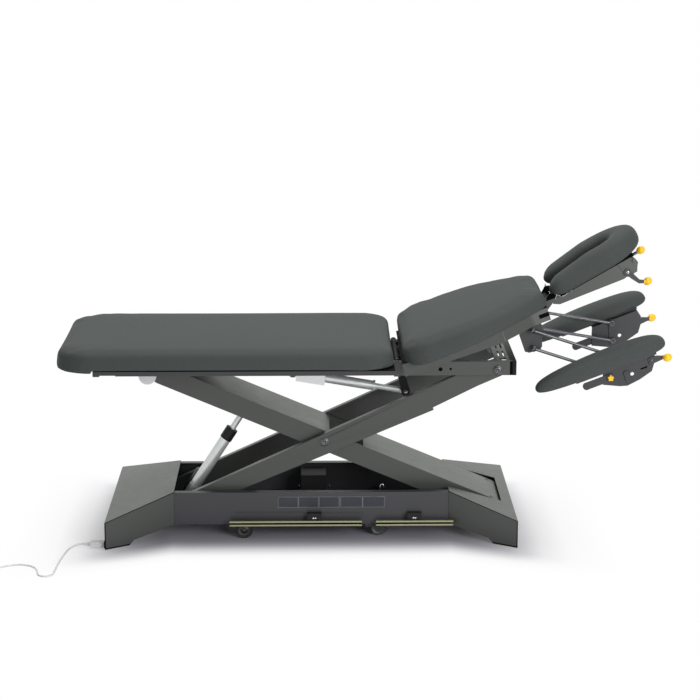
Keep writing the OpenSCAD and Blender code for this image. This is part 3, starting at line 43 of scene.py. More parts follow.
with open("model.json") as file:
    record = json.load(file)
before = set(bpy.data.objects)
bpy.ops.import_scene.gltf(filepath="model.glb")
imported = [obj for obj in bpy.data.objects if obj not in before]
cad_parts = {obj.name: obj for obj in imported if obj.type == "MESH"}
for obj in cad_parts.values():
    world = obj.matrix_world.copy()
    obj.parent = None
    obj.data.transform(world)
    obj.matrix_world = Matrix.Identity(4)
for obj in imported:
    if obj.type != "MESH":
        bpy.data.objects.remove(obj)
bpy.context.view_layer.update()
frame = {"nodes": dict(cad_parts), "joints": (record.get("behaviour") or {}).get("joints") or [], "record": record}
NODES = frame["nodes"]
JOINTS = {joint["name"]: joint for joint in frame["joints"]}
SIDES = ("near", "far")
SIGN = {"near": -1.0, "far": 1.0}
MM = 0.001


def section(place, tilt=0.0):
    """The frame of a section, in millimetres, from the place of its hinge and its tilt in degrees."""
    turned = Matrix.Translation(place) @ Matrix.Rotation(-math.radians(tilt), 4, "Y")
    return turned @ Matrix.Scale(MM, 4)


def hinge(name):
    """Place of a joint in the row frame."""
    return Vector(JOINTS[name]["pos_m"])


def middle_of(node):
    """Middle of a CAD node's box."""
    low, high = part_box(node)
    return (Vector(low) + Vector(high)) / 2


def corners_of(node, place):
    """Lowest and highest corner of a CAD node, in a section's millimetres."""
    back = place.inverted()
    points = [back @ v.co for v in NODES[node].data.vertices]
    low = Vector(min(p[k] for p in points) for k in range(3))
    high = Vector(max(p[k] for p in points) for k in range(3))
    return low, high


# The pose in the CAD model, in degrees
LIFT_ANGLE = 23.58
BACK_TILT = 19.4
HEAD_TILT = 30.0
ARMREST_TILT = 21.0

LEVEL = section((middle_of("base_rail_near").x, 0.0, 0.0))
INNER_ARM = section(hinge("lift"), -LIFT_ANGLE)
OUTER_ARM = section((middle_of("outer_rollers").x, 0.0, middle_of("outer_rollers").z), LIFT_ANGLE)
TOP = section((LEVEL.translation.x, 0.0, hinge("scissor_top").z))
BACK = section(hinge("back_tilt"), BACK_TILT)
HEAD = section(hinge("head_tilt"), HEAD_TILT)
ARMREST = {}
for side in SIDES:
    tilt_joint = hinge(side + "_armrest_tilt")
    ARMREST[side] = section((tilt_joint.x, 0.0, tilt_joint.z), ARMREST_TILT)


def sign(operation, swapped=False):
    """The method of Value for one arithmetic sign."""

    def method(self, other):
        first, second = (other, self) if swapped else (self, other)
        return self.paint.node("ShaderNodeMath", {"operation": operation}, {0: first, 1: second})

    return method


class Value:
    """An output of a shader node: arithmetic on it adds Math nodes to its material."""

    def __init__(self, paint, socket):
        self.paint = paint
        self.socket = socket

    __add__ = sign("ADD")
    __radd__ = sign("ADD", swapped=True)
    __sub__ = sign("SUBTRACT")
    __rsub__ = sign("SUBTRACT", swapped=True)
    __mul__ = sign("MULTIPLY")
    __rmul__ = sign("MULTIPLY", swapped=True)
    __pow__ = sign("POWER")
    __lt__ = sign("LESS_THAN")
    __gt__ = sign("GREATER_THAN")


# What a surface shows: its colour, roughness, metal and height in millimetres
Coat = namedtuple("Coat", "colour gloss metal relief")


class Paint:
    """A tree of shader nodes, with one method that adds any of them."""

    def __init__(self, tree):
        self.tree = tree
        self.tree.nodes.clear()

    @classmethod
    def on_material(cls, name):
        material = bpy.data.materials.new(name)
        material.use_nodes = True
        paint = cls(material.node_tree)
        paint.material = material
        return paint

    def node(self, kind, settings=None, inputs=None, output=0):
        made = self.tree.nodes.new(kind)
        for name, value in (settings or {}).items():
            if name == "stops":
                self.set_stops(made.color_ramp, value)
            else:
                setattr(made, name, value)
        for name, value in (inputs or {}).items():
            if isinstance(value, Value):
                self.tree.links.new(value.socket, made.inputs[name])
            else:
                made.inputs[name].default_value = value
        return Value(self, made.outputs[output]) if made.outputs else None

    @staticmethod
    def set_stops(ramp, stops):
        while len(ramp.elements) < len(stops):
            ramp.elements.new(0.5)
        for element, (place, tone) in zip(ramp.elements, stops):
            element.position = place
            element.color = (tone, tone, tone, 1.0)

    def place(self):
        """The surface's place at rest, in metres in the row frame."""
        return self.node("ShaderNodeTexCoord", output="Object")

    def place_in(self, frame_mm):
        """The surface's place along the three axes of a section, in millimetres."""
        shift, turn, size = frame_mm.inverted().decompose()
        inputs = {"Vector": self.place(), "Location": shift, "Rotation": turn.to_euler(), "Scale": size}
        seen = self.node("ShaderNodeMapping", {"vector_type": "POINT"}, inputs)
        split = self.node("ShaderNodeSeparateXYZ", None, {"Vector": seen}).socket.node
        return [Value(self, output) for output in split.outputs]

    def noise(self, scale, detail=3.0, roughness=0.5, vector=None):
        inputs = {"Vector": vector or self.place(), "Scale": scale, "Detail": detail, "Roughness": roughness}
        return self.node("ShaderNodeTexNoise", None, inputs)

    def ramp(self, value, stops):
        return self.node("ShaderNodeValToRGB", {"stops": stops}, {"Fac": value})

    def mix(self, share, first, second):
        """A colour between two colours."""
        return self.node("ShaderNodeMix", {"data_type": "RGBA"}, {"Factor": share, 6: first, 7: second}, output=2)

    def larger(self, first, second):
        return self.node("ShaderNodeMath", {"operation": "MAXIMUM"}, {0: first, 1: second})

    def off(self, value):
        """How far a value is from zero."""
        return self.larger(value, 0.0 - value)

    def ray(self, kind):
        """1 for rays of one kind, and 0 for all others."""
        return self.node("ShaderNodeLightPath", output="Is %s Ray" % kind)

    def between(self, value, low, high):
        """1 where a value is between two numbers, and 0 elsewhere."""
        return (value > low) * (value < high)

    def ball(self, centre, radius):
        """1 inside a ball round a place of the row frame, and 0 elsewhere."""
        inputs = {0: self.place(), 1: centre}
        return self.node("ShaderNodeVectorMath", {"operation": "DISTANCE"}, inputs, output="Value") < radius

    def over(self, mask, top, under):
        """A coat that shows one coat where the mask is 1 and another where it is 0."""

        def blend(first, second):
            return first if first == second else first + (second - first) * mask

        colour = self.mix(mask, under.colour, top.colour)
        return Coat(colour, *(blend(*both) for both in zip(under[1:], top[1:])))

    def close(self, coat, specular=0.5, **shine):
        """Closes a material with a Principled shader. Underscores in a name stand for spaces."""
        bumped = self.node("ShaderNodeBump", None, {"Height": coat.relief, "Distance": MM, "Strength": 0.8})
        inputs = {name.replace("_", " "): value for name, value in shine.items()}
        inputs.update({"Base Color": coat.colour, "Roughness": coat.gloss, "Metallic": coat.metal})
        inputs.update({"Specular IOR Level": specular, "Normal": bumped})
        self.surface(self.node("ShaderNodeBsdfPrincipled", None, inputs))
        return self.material

    def surface(self, shader, end="ShaderNodeOutputMaterial"):
        self.node(end, None, {"Surface": shader})


def tone(colour, factor=1.0):
    """A colour made darker or lighter, as red, green, blue and alpha."""
    return tuple(channel * factor for channel in colour[:3]) + (1.0,)


# Coats


def powder(paint, colour, gloss=0.36):
    """Oven-baked powder paint: fine orange peel, faint clouding of colour, rubbed spots of gloss."""
    peel = paint.noise(750.0, 2.0, 0.6)
    rubbed = paint.ramp(paint.noise(9.0, 5.0, 0.65), [(0.0, 0.0), (0.5, 0.15), (0.7, 1.0)])
    return Coat(
        paint.mix(paint.noise(4.0, 2.0), tone(colour, 0.93), tone(colour, 1.07)),
        gloss + (paint.noise(34.0, 4.0) - 0.5) * 0.1 - rubbed * 0.04,
        0.0,
        peel * 0.045,
    )


def enamelled(paint, colour):
    """Satin enamel on drawn tube, which keeps part of the metal's sheen."""
    return powder(paint, colour, 0.34)._replace(metal=0.5)


def grained(paint, colour):
    """Upholstery vinyl: closed leather grain, soft gloss, faint unevenness of colour."""
    cells = paint.node(
        "ShaderNodeTexVoronoi", {"feature": "F1"}, {"Vector": paint.place(), "Scale": 560.0, "Randomness": 0.95}
    )
    folds = paint.noise(170.0, 5.0, 0.62)
    creases = paint.ramp(cells, [(0.0, 0.0), (0.4, 0.2), (0.75, 1.0)])
    clouds = paint.mix(paint.noise(3.0, 3.0), tone(colour, 0.94), tone(colour, 1.06))
    return Coat(
        paint.mix(creases, clouds, tone(colour, 0.84)),
        0.56 + (folds - 0.5) * 0.16,
        0.0,
        folds * 0.09 - cells ** 2.0 * 0.14,
    )


def moulded(paint, colour, gloss, grain=300.0, depth=0.03):
    """Moulded plastic or rubber with a fine spark-eroded grain."""
    spark = paint.noise(grain, 4.0, 0.6)
    return Coat(
        paint.mix(paint.noise(14.0, 3.0), tone(colour, 0.92), tone(colour, 1.06)),
        gloss + (spark - 0.5) * 0.18,
        0.0,
        spark * depth,
    )


def drawn_metal(paint, colour, gloss, stretch):
    """Turned, drawn or brushed metal: fine streaks in its colour and gloss."""
    pulled = paint.node("ShaderNodeVectorMath", {"operation": "MULTIPLY"}, {0: paint.place(), 1: stretch})
    streaks = paint.noise(45.0, 3.0, 0.5, pulled)
    return Coat(
        paint.mix(streaks, tone(colour, 0.93), tone(colour, 1.04)),
        gloss + (streaks - 0.5) * 0.12,
        1.0,
        streaks * 0.004,
    )


def pressed(paint, colour, gloss):
    """Powder paint in a shallow groove, where less light reaches."""
    coat = powder(paint, tone(colour, 0.72), gloss)
    return coat._replace(relief=coat.relief - 0.6)


def capped(paint):
    """Black plastic of an end cap, which stays dark at a steep look."""
    return moulded(paint, BLACK, 0.5)._replace(metal=0.8)


def pitch(paint):
    """A deep black that mirrors nothing at a steep look: painted shade in gaps and on boards under the cushions, and
    black bands along edges.
    """
    return moulded(paint, tone(BLACK, 0.6), 0.8)._replace(metal=1.0)


def hole(paint):
    """Painted shade for the dark inside of a hole, set back behind its sheet."""
    dark = pitch(paint)
    return dark._replace(relief=dark.relief - 0.8)


def recipe(coat, *values):
    """A coat with its values filled in, ready for any material."""
    return lambda paint: coat(paint, *values)


def colour_choice(name, description, default):
    """A colour that a user can change."""
    return bpy.props.FloatVectorProperty(
        name=name, description=description, subtype="COLOR", size=3, min=0.0, max=1.0, default=default
    )


class TableColours(bpy.types.PropertyGroup):
    """Colours that a user would change."""

    vinyl: colour_choice("Vinyl", "Colour of the upholstery", (0.076, 0.084, 0.081))
    frame_paint: colour_choice("Frame paint", "Powder paint on arms, covers and sections", (0.062, 0.066, 0.061))
    rail_paint: colour_choice("Rail paint", "Powder paint on the base rails", (0.042, 0.042, 0.048))
    dark_paint: colour_choice("Dark paint", "Powder paint on brackets and beams", (0.03, 0.031, 0.034))
    knobs: colour_choice("Knobs", "Colour of the release knobs", (1.0, 0.6, 0.012))
    enamel: colour_choice("Actuators", "Colour of the lift and back actuators", (0.8, 0.82, 0.81))


class TableSizes(bpy.types.PropertyGroup):
    """Sizes that a user would change."""

    cushion_swell: bpy.props.FloatProperty(
        name="Cushion swell", description="How far the foam may push the cover out", unit="LENGTH",
        min=0.0, max=0.012, default=0.005,
    )
    cover_mesh: bpy.props.FloatProperty(
        name="Cover mesh", description="Size of the squares in which a large cover is simulated", unit="LENGTH",
        min=0.004, max=0.02, default=0.0085,
    )
    edge_width: bpy.props.FloatProperty(
        name="Metal edge", description="Width of the softened edge on metal pieces", unit="LENGTH",
        min=0.0, max=0.003, default=0.0008,
    )


FINISHES = {}
BLACK = (0.012, 0.012, 0.013)
MOTOR_BLACK = (0.02, 0.02, 0.022)
STEM_STEEL = (0.1, 0.1, 0.11)
PEDAL_GOLD = (0.37, 0.365, 0.24)
WHITE = (0.78, 0.78, 0.77)
DARK_GLOSS = 0.44
RAIL_GLOSS = 0.42
# Roughness, grain and depth of the yellow plastic
KNOB_PLASTIC = (0.28, 700.0, 0.006)
# How the streaks of drawn metal are squeezed along each axis
ALONG_X = (1.0, 40.0, 40.0)
ALONG_Y = (40.0, 1.0, 40.0)


def make_finishes(colours):
    """Builds each plain finish of the table once."""

    def keep(name, coat, *values, **shine):
        paint = Paint.on_material(name)
        FINISHES[name] = paint.close(coat(paint, *values), **shine)

    keep("vinyl", grained, colours.vinyl, specular=0.03)
    keep("powder_coat", powder, colours.frame_paint)
    keep("dark_coat", powder, colours.dark_paint, DARK_GLOSS)
    keep("black_rubber", moulded, BLACK, 0.65, specular=0.2)
    keep("black_plastic", moulded, BLACK, 0.5, specular=0.25)
    keep("anodised_bar", drawn_metal, (0.5, 0.49, 0.33), 0.46, ALONG_X)
    keep("bright_steel", drawn_metal, (0.6, 0.61, 0.63), 0.26, ALONG_Y)
    keep("dark_steel", drawn_metal, (0.13, 0.13, 0.14), 0.34, ALONG_X)
    keep("pale_plastic", moulded, WHITE, 0.38, 500.0, 0.008)
    keep("pale_enamel", enamelled, colours.enamel)
    keep("yellow_plastic", moulded, colours.knobs, *KNOB_PLASTIC, Coat_Weight=0.2, Coat_Roughness=0.15)
    keep("castor_rim", drawn_metal, (0.06, 0.065, 0.06), 0.5, ALONG_Y)
    keep("blank_plate", moulded, (0.17, 0.18, 0.205), 0.34, 900.0, 0.004)
    keep("plate_border", moulded, (0.5, 0.52, 0.55), 0.36, 900.0, 0.004)


def put(name, data):
    """A new object in the scene."""
    made = bpy.data.objects.new(name, data)
    bpy.context.scene.collection.objects.link(made)
    return made


class Form:
    """Points and faces of a piece, gathered in a section's millimetres."""

    def __init__(self, place):
        self.place = place
        self.points = []
        self.faces = []

    def skin(self, rings):
        """Faces from ring to ring, with both ends capped."""
        first, count = len(self.points), len(rings[0])
        last = first + (len(rings) - 1) * count
        for low in range(first, last, count):
            for i in range(count):
                j = (i + 1) % count
                self.faces.append((low + i, low + j, low + count + j, low + count + i))
        self.faces.append(tuple(range(first + count - 1, first - 1, -1)))
        self.faces.append(tuple(range(last, last + count)))
        self.points += [Vector(p) for ring in rings for p in ring]

    def slab(self, outline, y0, y1):
        """A flat plate from its outline in X and Z, between two places across the table. Both rims are doubled."""
        self.skin([[Vector((x, y, z)) for x, z in outline] for y in (y0, y0, y1, y1)])

    def tube(self, path, radius, sides=10):
        """A round tube along a path."""
        rings = []
        normal = Vector((0.0, 0.0, 1.0))
        for i, point in enumerate(path):
            along = (path[min(i + 1, len(path) - 1)] - path[max(i - 1, 0)]).normalized()
            if abs(along.dot(normal)) > 0.95:
                normal = Vector((0.0, 1.0, 0.0))
            across = along.cross(normal).normalized()
            normal = across.cross(along).normalized()
            angles = [2 * math.pi * k / sides for k in range(sides)]
            rings.append([point + (across * math.cos(a) + normal * math.sin(a)) * radius for a in angles])
        self.skin(rings)

    def turned(self, centre, profile, out=1.0, sides=28):
        """A round piece about an axis across the table. Its profile lists radius, reach and corners."""
        rings = []
        for radius, reach, corners in profile:
            ring = []
            for k in range(sides):
                a = 2 * math.pi * k / sides
                r = radius
                if corners:
                    wedge = math.pi / corners
                    r = radius * math.cos(wedge) / math.cos((a + wedge) % (2 * wedge) - wedge)
                ring.append(centre + Vector((r * math.cos(a) * out, reach * out, r * math.sin(a))))
            rings.append(ring)
        self.skin(rings)

    def make(self, name, finish, body):
        """The finished piece in the row frame, riding on a CAD body."""
        mesh = bpy.data.meshes.new(name)
        mesh.from_pydata([tuple(self.place @ p) for p in self.points], [], self.faces)
        mesh.validate()
        piece = put(name, mesh)
        mesh.materials.append(FINISHES[finish])
        for polygon in mesh.polygons:
            polygon.use_smooth = True
        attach(piece, body)
        return piece


SOFT_EDGE_ANGLE = math.radians(35.0)


def soften(piece, width):
    """Rounds the sharp edges of a metal piece and keeps its flats flat."""
    bevel = piece.modifiers.new("edge", "BEVEL")
    bevel.width = width
    bevel.segments = 2
    bevel.limit_method = "ANGLE"
    bevel.angle_limit = SOFT_EDGE_ANGLE
    flats = piece.modifiers.new("flats", "WEIGHTED_NORMAL")
    flats.keep_sharp = True


def settle(piece):
    """Replaces a piece's mesh by what its modifiers make of it."""
    bpy.context.view_layer.update()
    made = bpy.data.meshes.new_from_object(piece.evaluated_get(bpy.context.evaluated_depsgraph_get()))
    piece.modifiers.clear()
    piece.data = made


# Lengths that the flat cushions share, in millimetres: the rounding of their top and lower edge, the swell of
# their sides, the room left above for the swell of the cover, and the spacing and draw of their long sides
TOP_EDGE = 24.0
LOW_EDGE = 9.0
BELLY = 3.0
SWELL_ROOM = 4.0
RIM_SPACING = 26.0
RIM_DRAW = 2.0
CORNER_STEPS = 14


def rounded(corners, radii, steps=CORNER_STEPS):
    """A closed outline with its corners rounded, as 2D points."""
    count = len(corners)
    points = []
    for i in range(count):
        before, corner, after = (Vector(corners[k % count]) for k in (i - 1, i, i + 1))
        back, on = (before - corner).normalized(), (after - corner).normalized()
        half = math.acos(max(-1.0, min(1.0, back.dot(on)))) / 2
        run = min(radii[i] / math.tan(half), 0.48 * min((before - corner).length, (after - corner).length))
        radius = run * math.tan(half)
        centre = corner + (back + on).normalized() * radius / math.sin(half)
        start = corner + back * run - centre
        sweep = math.pi - 2 * half
        for k in range(steps + 1):
            turned = start.copy()
            turned.rotate(Matrix.Rotation(sweep * k / steps, 2))
            points.append(centre + turned)
    return points


def filled_out(points):
    """Adds points along the long sides of an outline, drawn in a little between their ends."""
    out = []
    count = len(points)
    for i in range(count):
        a, b = points[i], points[(i + 1) % count]
        out.append(a)
        length = (b - a).length
        extra = int(length / RIM_SPACING)
        inward = Vector((-(b - a).y, (b - a).x)) / max(length, 1e-9)
        for k in range(1, extra + 1):
            t = k / (extra + 1)
            out.append(a + (b - a) * t + inward * RIM_DRAW * 4 * t * (1 - t) * min(1.0, length / 300.0))
    return out


def inset(points, amount):
    """An outline moved inwards by an amount."""
    count = len(points)
    out = []
    for i in range(count):
        along = (points[(i + 1) % count] - points[i - 1]).normalized()
        out.append(points[i] + Vector((-along.y, along.x)) * amount)
    return out


def side_profile(height):
    """Insets and heights up the side of a cushion: rolled under, a full belly, drawn in below the top edge."""
    steps = 6
    out = []
    for k in range(steps + 1):
        a = math.pi / 2 * k / steps
        out.append((LOW_EDGE * (1 - math.sin(a)), LOW_EDGE * (1 - math.cos(a)) * 0.9))
    waist = height - TOP_EDGE
    for k in range(1, 4):
        t = k / 4
        out.append((BELLY * math.sin(math.pi * t) ** 2, LOW_EDGE * 0.9 + (waist - LOW_EDGE * 0.9) * t))
    for k in range(steps + 1):
        a = math.pi / 2 * k / steps
        out.append((BELLY * 0.4 + TOP_EDGE * (1 - math.cos(a)), waist + TOP_EDGE * math.sin(a)))
    return out


def cushion_block(place, corners, radii, base_z, top_z, crown):
    """The form of a flat cushion: full sides, and a crowned top that closes in rings."""
    outline = filled_out(rounded(corners, radii))
    height = top_z - base_z - SWELL_ROOM
    rings = []
    for amount, z in side_profile(height):
        rings.append([Vector((p.x, p.y, base_z + z)) for p in inset(outline, amount)])
    rim = inset(outline, TOP_EDGE + BELLY * 0.4)
    centre = sum(rim, Vector((0.0, 0.0))) / len(rim)
    for k in range(1, 7):
        t = k / 7
        rings.append([Vector((*p.lerp(centre, t), base_z + height + crown * (1 - (1 - t) ** 2.4))) for p in rim])
    form = Form(place)
    form.skin(rings)
    return form


COVER_CLOTH = {
    "quality": 3, "mass": 0.4, "tension_stiffness": 30, "compression_stiffness": 30, "shear_stiffness": 12,
    "bending_stiffness": 2.0, "use_pressure": True,
}
COVER_FRAMES = 16


def even_out(piece, times):
    """Evens out the mesh of a cover."""
    even = piece.modifiers.new("even", "SMOOTH")
    even.iterations = times
    even.factor = 0.5


def swell(piece, squares, cap, pinned, pressure):
    """Covers the foam: remeshes the piece, swells it under pressure and keeps it within a cap."""
    remesh = piece.modifiers.new("squares", "REMESH")
    remesh.mode = "VOXEL"
    remesh.voxel_size = squares
    remesh.use_smooth_shade = True
    even_out(piece, 6)
    settle(piece)
    rest = [v.co.copy() for v in piece.data.vertices]
    group = piece.vertex_groups.new(name="board")
    group.add([v.index for v in piece.data.vertices if pinned(v.co)], 1.0, "REPLACE")
    cloth = piece.modifiers.new("cover", "CLOTH")
    for name, value in COVER_CLOTH.items():
        setattr(cloth.settings, name, value)
    cloth.settings.uniform_pressure_force = pressure
    cloth.settings.vertex_group_mass = group.name
    cloth.settings.effector_weights.gravity = 0.0
    cloth.point_cache.frame_start = 1
    cloth.point_cache.frame_end = COVER_FRAMES
    scene = bpy.context.scene
    for number in range(1, COVER_FRAMES + 1):
        scene.frame_set(number)
    settle(piece)
    scene.frame_set(1)
    for vertex, start in zip(piece.data.vertices, rest):
        moved = vertex.co - start
        if moved.length > cap:
            vertex.co = start + moved * (cap / moved.length)
    even_out(piece, 5)
    finer = piece.modifiers.new("finer", "SUBSURF")
    finer.levels = 1
    finer.render_levels = 1
    settle(piece)
    for polygon in piece.data.polygons:
        polygon.use_smooth = True


def ease(x):
    """A smooth step from 0 to 1."""
    x = max(0.0, min(1.0, x))
    return x * x * (3 - 2 * x)


# How far outside its board a cover starts to hang down, and the band over which it does so
LIP_CLEAR = 1.0
LIP_BLEND = 6.0


def hang_lip(piece, place, floor_z, height, outside, drop):
    """Draws the lower rim of a cover down over the side of its board, in a section's millimetres."""
    back = place.inverted()
    for vertex in piece.data.vertices:
        p = back @ vertex.co
        p.z -= drop(p) * ease((outside(p) - LIP_CLEAR) / LIP_BLEND) * ease((floor_z + height - p.z) / height)
        vertex.co = place @ p


def upholster(name, form, body, node, squares, cap, pressure=4.0, board=6.0):
    """One padded piece from its form, standing for its CAD solid. The cover is held at its board."""
    piece = form.make(name, "vinyl", body)
    back = form.place.inverted()
    floor = min(p.z for p in form.points) + board
    swell(piece, squares, cap, lambda co: (back @ co).z < floor, pressure)
    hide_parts(node)
    return piece


# Materials of single CAD nodes, where one solid shows more than one finish


def dress(node, material):
    """Gives a CAD node one material."""
    NODES[node].data.materials.clear()
    NODES[node].data.materials.append(material)


def two_finishes(node, mask, top, under):
    """Gives a CAD node one coat where the mask is 1 and another elsewhere."""
    paint = Paint.on_material(node + "_finish")
    dress(node, paint.close(paint.over(mask(paint), top(paint), under(paint))))


def marked(name, place, face, marks, top, under):
    """A material with marks on a section's outer faces: each a spot of X, Z and radius, or a block's X and Z."""
    paint = Paint.on_material(name)
    x, y, z = paint.place_in(place)
    mask = None
    for mark in marks:
        if len(mark) == 3:
            across, up = x - mark[0], z - mark[1]
            one = (across * across + up * up) < mark[2] ** 2
        else:
            one = paint.between(x, mark[0], mark[1]) * paint.between(z, mark[2], mark[3])
        mask = one if mask is None else paint.larger(mask, one)
    return paint.close(paint.over(mask * (paint.off(y) > face), top(paint), under(paint)))


# Lengths on the CAD model, in millimetres, where a finish or a small piece needs them
WELD_GAP = 0.01
KNOB_R = 14.0
HEAD_KNOB = (290.0, -54.0, -112.0)
ARMREST_KNOB_X, ARMREST_KNOB_Z = 138.0, 4.0
ARM_MIDDLE = 600.0
ARM_LENGTH = 1200.0
OUTER_FACE = 148.0
TOP_RAIL_FACE = 171.0
RAIL_FACE = 190.0
BRACKET_FACE = 191.8
PEDAL_FACE = 218.4
PEDAL_ARM = 209.8
PEDAL_Z = 52.0
PEDAL_HALF_GROOVE = 2.9
MOTOR_SIDE = 20.5
NECK_FACE = 158.0
HEAD_BOARD_Z = -12.5
PUSH_KNOB_X = 321.0
CAP_WIDTH = 21.0
# How far the painted shade on a board's top reaches down its sides
BOARD_EDGE = 1.5

# End covers: height and half width where they start, how they fall and flare from there, and their far end
COVER_START = 440.0
COVER_TOP = 150.0
COVER_HALF_WIDTH = 192.6
COVER_SLOPE = 0.2857
COVER_FLARE = 0.6543
COVER_END = 646.5
# Height of the black band along the bottom of the covers
COVER_BLACK_BAND = 7.0
# How far down and in the painted shade in the seam along their upper edge reaches, and where the black band on their
# end starts below it
COVER_SEAM_DOWN = 2.4
COVER_SEAM_IN = 0.8
COVER_END_BAND = 4.0
DOT_START, DOT_STEP, DOT_COUNT, DOT_Y = 480.0, 15.5, 7, 152.0
DOT_RADIUS_SQUARED = 3.6

# Marks: X, Z and radius of a spot, or the X and Z between which a block lies
RAIL_MARKS = [
    (-166.7, 75.5, 3.4), (165.1, 75.5, 3.2), (-245.0, -21.0, 76.5, 83.5), (34.0, 158.0, 75.0, 81.0),
]
TOP_RAIL_MARKS = [
    (411.0, 3.0, 6.5), (443.0, 4.0, 4.0), (200.0, 3.0, 3.5), (-300.0, 3.0, 4.0), (631.0, 660.0, -60.0, 60.0),
]
BRACKET_SLOT = (47.0, 69.0, -6.5, -1.5)
BACK_SLOT = (472.0, 506.0, -18.0, -5.0)
BACK_SEAMS = [(345.2, 346.8), (447.2, 448.8)]


class TABLE_OT_frame(bpy.types.Operator):
    """Finishes every CAD piece that stays in view"""

    bl_idname = "table.frame"
    bl_label = "Paint the frame"

    def execute(self, context):
        colours = context.scene.table_colours
        make_finishes(colours)
        slots = {part["node"]: part["material_slot"] for part in frame["record"]["subparts"]}
        for name, node in NODES.items():
            dress(name, FINISHES[slots[name]])
            weld = node.modifiers.new("weld", "WELD")
            weld.merge_threshold = WELD_GAP * MM
            soften(node, context.scene.table_sizes.edge_width)
        # Black for both; on the back brackets, which sit in the dark gap between the cushions, this black is painted
        # shade
        for name in ("control_box", "back_brackets"):
            dress(name, FINISHES["black_rubber"])
        plain = recipe(powder, colours.frame_paint)
        dark = recipe(powder, colours.dark_paint, DARK_GLOSS)
        self.knobs(colours, dark)
        self.rails(colours, plain)
        self.top(colours, plain, dark)
        self.back(colours)
        self.covers(colours)
        self.pedals()
        return {"FINISHED"}

    def knobs(self, colours, dark):
        """Yellow knobs on the dark levers, and the yellow ball where the push knob's dark stem ends."""
        yellow = recipe(moulded, colours.knobs, *KNOB_PLASTIC)
        levers = {"head_release_lever": (HEAD, HEAD_KNOB, KNOB_R * 1.2)}
        for side in SIDES:
            centre = (ARMREST_KNOB_X, SIGN[side] * (BRACKET_FACE + 0.3 + KNOB_R), ARMREST_KNOB_Z)
            levers[side + "_lever"] = (ARMREST[side], centre, KNOB_R * 1.25)
        for node, (place, centre, radius) in levers.items():
            middle = place @ Vector(centre)
            two_finishes(node, lambda paint: paint.ball(middle, radius * MM), yellow, dark)
        stem = recipe(drawn_metal, STEM_STEEL, 0.36, ALONG_X)
        two_finishes("head_push_knob", lambda paint: paint.place_in(HEAD)[0] > PUSH_KNOB_X - KNOB_R, yellow, stem)

    def rails(self, colours, plain):
        """Base rails with their pressed grooves and holes in painted shade, and top rails with their holes in painted
        shade and black ends.
        """
        groove = recipe(pressed, colours.rail_paint, RAIL_GLOSS)
        flat = recipe(powder, colours.rail_paint, RAIL_GLOSS)
        base = marked("base_rail_finish", LEVEL, RAIL_FACE - 1.0, RAIL_MARKS, groove, flat)
        top = marked("top_rail_finish", TOP, TOP_RAIL_FACE - 1.0, TOP_RAIL_MARKS, hole, plain)
        for side in SIDES:
            dress("base_rail_" + side, base)
            dress("top_rail_" + side, top)

    def top(self, colours, plain, dark):
        """The cap over the rail ends, the tray's top in painted shade, the lift motor, and the armrest brackets with
        painted shade in their slots.
        """
        cap = corners_of("head_cross_member", TOP)[1].x - CAP_WIDTH
        two_finishes("head_cross_member", lambda paint: paint.place_in(TOP)[0] > cap, capped, plain)
        # Painted shade on the tray's top under the cushion
        board = corners_of("long_cushion", LEVEL)[0].z - BOARD_EDGE
        two_finishes("long_tray", lambda paint: paint.place_in(LEVEL)[2] > board, pitch, dark)
        motor = recipe(moulded, MOTOR_BLACK, 0.42)
        pale = recipe(enamelled, colours.enamel)
        two_finishes("lift_actuator_tube", lambda paint: paint.place_in(LEVEL)[1] > MOTOR_SIDE, motor, pale)
        # The armrest brackets get painted shade in their slots
        for side in SIDES:
            name = side + "_bracket"
            face = BRACKET_FACE - 1.5
            dress(name, marked(name + "_finish", ARMREST[side], face, [BRACKET_SLOT], hole, dark))

    def back(self, colours):
        """The back skirt with painted highlights on its seams, painted shade in its slot and on its board, and the head
        channel in painted light.
        """
        paint = Paint.on_material("back_frame_finish")
        x, y, z = paint.place_in(BACK)
        outside = paint.off(y) > NECK_FACE
        # Painted highlight: the seams get a copy of the frame paint 2.6 times lighter, raised a little
        seam = paint.larger(*(paint.between(x, *ends) for ends in BACK_SEAMS)) * outside
        # Painted shade in the slot
        slot = paint.between(x, *BACK_SLOT[:2]) * paint.between(z, *BACK_SLOT[2:]) * outside
        light = powder(paint, tone(colours.frame_paint, 2.6))
        skirt = paint.over(seam, light._replace(relief=light.relief + 0.4), powder(paint, colours.frame_paint))
        # Painted shade on the board's top under the cushion
        board = corners_of("back_cushion", BACK)[0].z - BOARD_EDGE
        skirt = paint.over(z > board, pitch(paint), skirt)
        dress("back_frame", paint.close(paint.over(slot, hole(paint), skirt)))
        # Painted light: the head channel is a copy of the frame paint 1.25 times lighter, and the board's top above it
        # gets painted shade
        channel = recipe(powder, tone(colours.frame_paint, 1.25))
        two_finishes("head_frame", lambda paint: paint.place_in(HEAD)[2] > HEAD_BOARD_Z, pitch, channel)

    def covers(self, colours):
        """The end covers with painted shade in their rows of small holes and in the seam along their upper edge, and
        black bands along their bottom and end.
        """
        paint = Paint.on_material("end_cover_finish")
        x, y, z = paint.place_in(LEVEL)
        # Painted shade in the rows of small holes
        dots = None
        for column in range(DOT_COUNT):
            for row in (-DOT_Y, DOT_Y):
                across, along = x - (DOT_START + column * DOT_STEP), y - row
                dot = (across * across + along * along) < DOT_RADIUS_SQUARED
                dots = dot if dots is None else paint.larger(dots, dot)
        out_x, out_y = paint.off(x), paint.off(y)
        fall = COVER_TOP - (out_x - COVER_START) * COVER_SLOPE
        flare = COVER_HALF_WIDTH + (out_x - COVER_START) * COVER_FLARE
